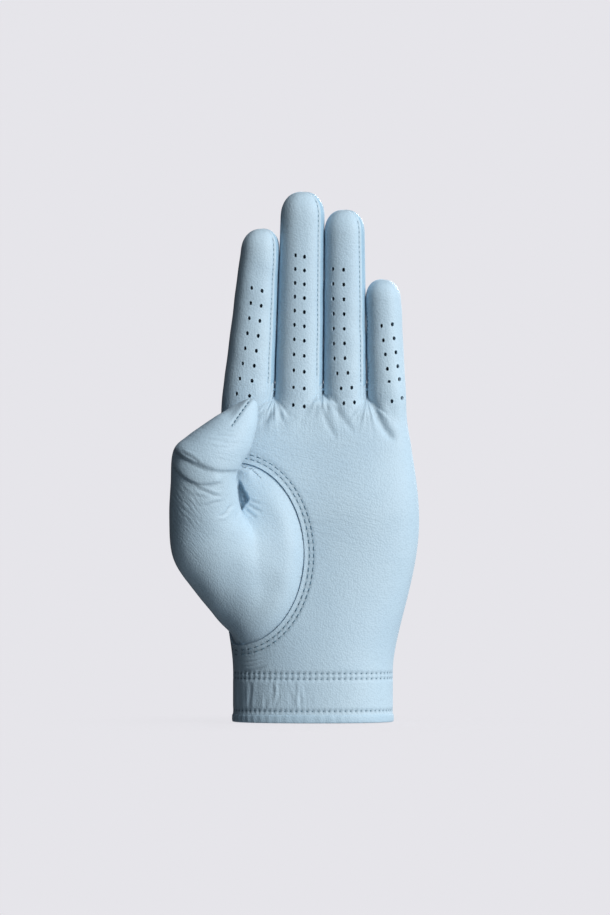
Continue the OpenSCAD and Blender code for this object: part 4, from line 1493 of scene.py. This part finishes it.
def closure_pads():
    rng = np.random.default_rng(4)
    end = TAB_END + PAD_MARGIN
    hook = pad_base("hook_pad", end + HOOK_W, end, PAD_MARGIN, HOOK_LIFT + 0.5, 0.4, HOOK_TAPE)
    finish_piece(hook, ["hook_pad"], "tab")
    xs, zs = np.meshgrid(
        np.linspace(end + 0.7, end + HOOK_W - 0.7, 10), np.arange(TAB_Z + 4.8, TAB_Z + TAB_W - 4.4, 0.95))
    places = back_point(xs.ravel(), zs.ravel(), HOOK_LIFT + 0.52)
    hooks = scatter(
        "hook_pad_hooks", small_hook(), places, -back_normals(places), HOOK_TAPE, np.zeros(len(places)))
    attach(hooks, "tab")
    start = -SLIT_LOW - BINDING_W - 1
    loop = pad_base("loop_pad", start, TAB_END - 2, PAD_MARGIN / 2, SEAM_GAP, 0.5, LOOP_TAPE)
    finish_piece(loop, ["loop_pad"], "hand")
    xs, zs = np.meshgrid(
        np.arange(TAB_END - 1.4, start - 0.5, 0.62), np.arange(TAB_Z + 2.6, TAB_Z + TAB_W - 2.5, 0.8))
    xs = xs.ravel() + rng.uniform(-0.2, 0.2, xs.size)
    zs = zs.ravel() + rng.uniform(-0.25, 0.25, zs.size)
    places = back_point(xs, zs, SEAM_GAP + 0.5)
    loops = scatter(
        "loop_pad_pile", small_loop(), places, back_normals(places), LOOP_TAPE,
        rng.uniform(0, 3.1, len(places)))
    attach(loops, "hand")


def elastic():
    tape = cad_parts["wrist_elastic"]
    tape.data.materials.clear()
    tape.data.materials.append(ELASTIC)


# ---- Stage ----

BACKDROP = (0.791, 0.784, 0.823)


def pale_world():
    """A pale backdrop for the camera, and soft light that is weak on the thumb's side"""
    world = bpy.data.worlds.new("studio")
    world.use_nodes = True
    tree = world.node_tree
    tree.nodes.clear()
    place = shader_node(tree, "ShaderNodeTexCoord").outputs["Generated"]
    side = shader_node(tree, "ShaderNodeSeparateXYZ", {0: place}).outputs["X"]
    light = shader_node(tree, "ShaderNodeBackground", {
        "Color": (0.84, 0.92, 1.0, 1), "Strength": map_range(tree, side, -0.65, 0.6, 0.02, 0.5)})
    seen = shader_node(tree, "ShaderNodeBackground", {"Color": (*BACKDROP, 1)})
    camera_ray = shader_node(tree, "ShaderNodeLightPath").outputs["Is Camera Ray"]
    choose = shader_node(
        tree, "ShaderNodeMixShader", {0: camera_ray, 1: light.outputs[0], 2: seen.outputs[0]})
    shader_node(tree, "ShaderNodeOutputWorld", {"Surface": choose.outputs[0]})
    bpy.context.scene.world = world


def area_light(name, place, size, power, colour=(1, 1, 1)):
    lamp = bpy.data.lights.new(name, "AREA")
    lamp.shape = "DISK"
    lamp.size = size
    lamp.energy = power
    lamp.color = colour
    made = in_scene(name, lamp)
    made.location = place
    aim = Vector((0, 0, 0.11)) - Vector(place)
    made.rotation_euler = aim.to_track_quat("-Z", "Y").to_euler()


def floor():
    """A pale round floor that fades out into the backdrop"""
    disc = primitive(
        bpy.ops.mesh.primitive_circle_add, vertices=96, radius=0.6, fill_type="NGON",
        location=(0, 0, -0.0004))
    disc.name = "floor"
    material, tree, skin = new_material("pale_floor")
    far = shader_node(
        tree, "ShaderNodeVectorMath", {0: object_place(tree)}, operation="LENGTH").outputs["Value"]
    fill(tree, skin, {
        "Alpha": map_range(tree, far, 0.03, 0.12, 0.06, 0.0, interpolation_type="SMOOTHSTEP"),
        "Base Color": (*BACKDROP, 1), "Roughness": 0.9, "Specular IOR Level": 0.1})
    disc.data.materials.append(material)


def camera():
    """Level with the glove and square to its palm, far enough off that lines hardly converge"""
    lens = bpy.data.cameras.new("camera")
    lens.sensor_width = 36
    lens.lens = 283.5
    made = in_scene("camera", lens)
    made.location = (-0.0033, -3.0, 0.1100)
    made.rotation_euler = (math.radians(90), 0, 0)
    bpy.context.scene.camera = made


palm_panel()
back_panel()
crotch_web()
for number in range(4):
    finger(number)
thumb()
hem_binding()
cuff_facing()
slit_binding()
slit_bar_tack()
closure_tab()
closure_pads()
elastic()

pale_world()
area_light("key", (1.62, -1.62, 0.7), 0.8, 46, (1.0, 0.95, 0.9))
area_light("top", (0.45, -0.5, 1.6), 0.8, 7)
area_light("back", (0.9, 2.1, 1.0), 0.9, 26)
floor()
camera()
bpy.context.scene.view_settings.view_transform = "Standard"
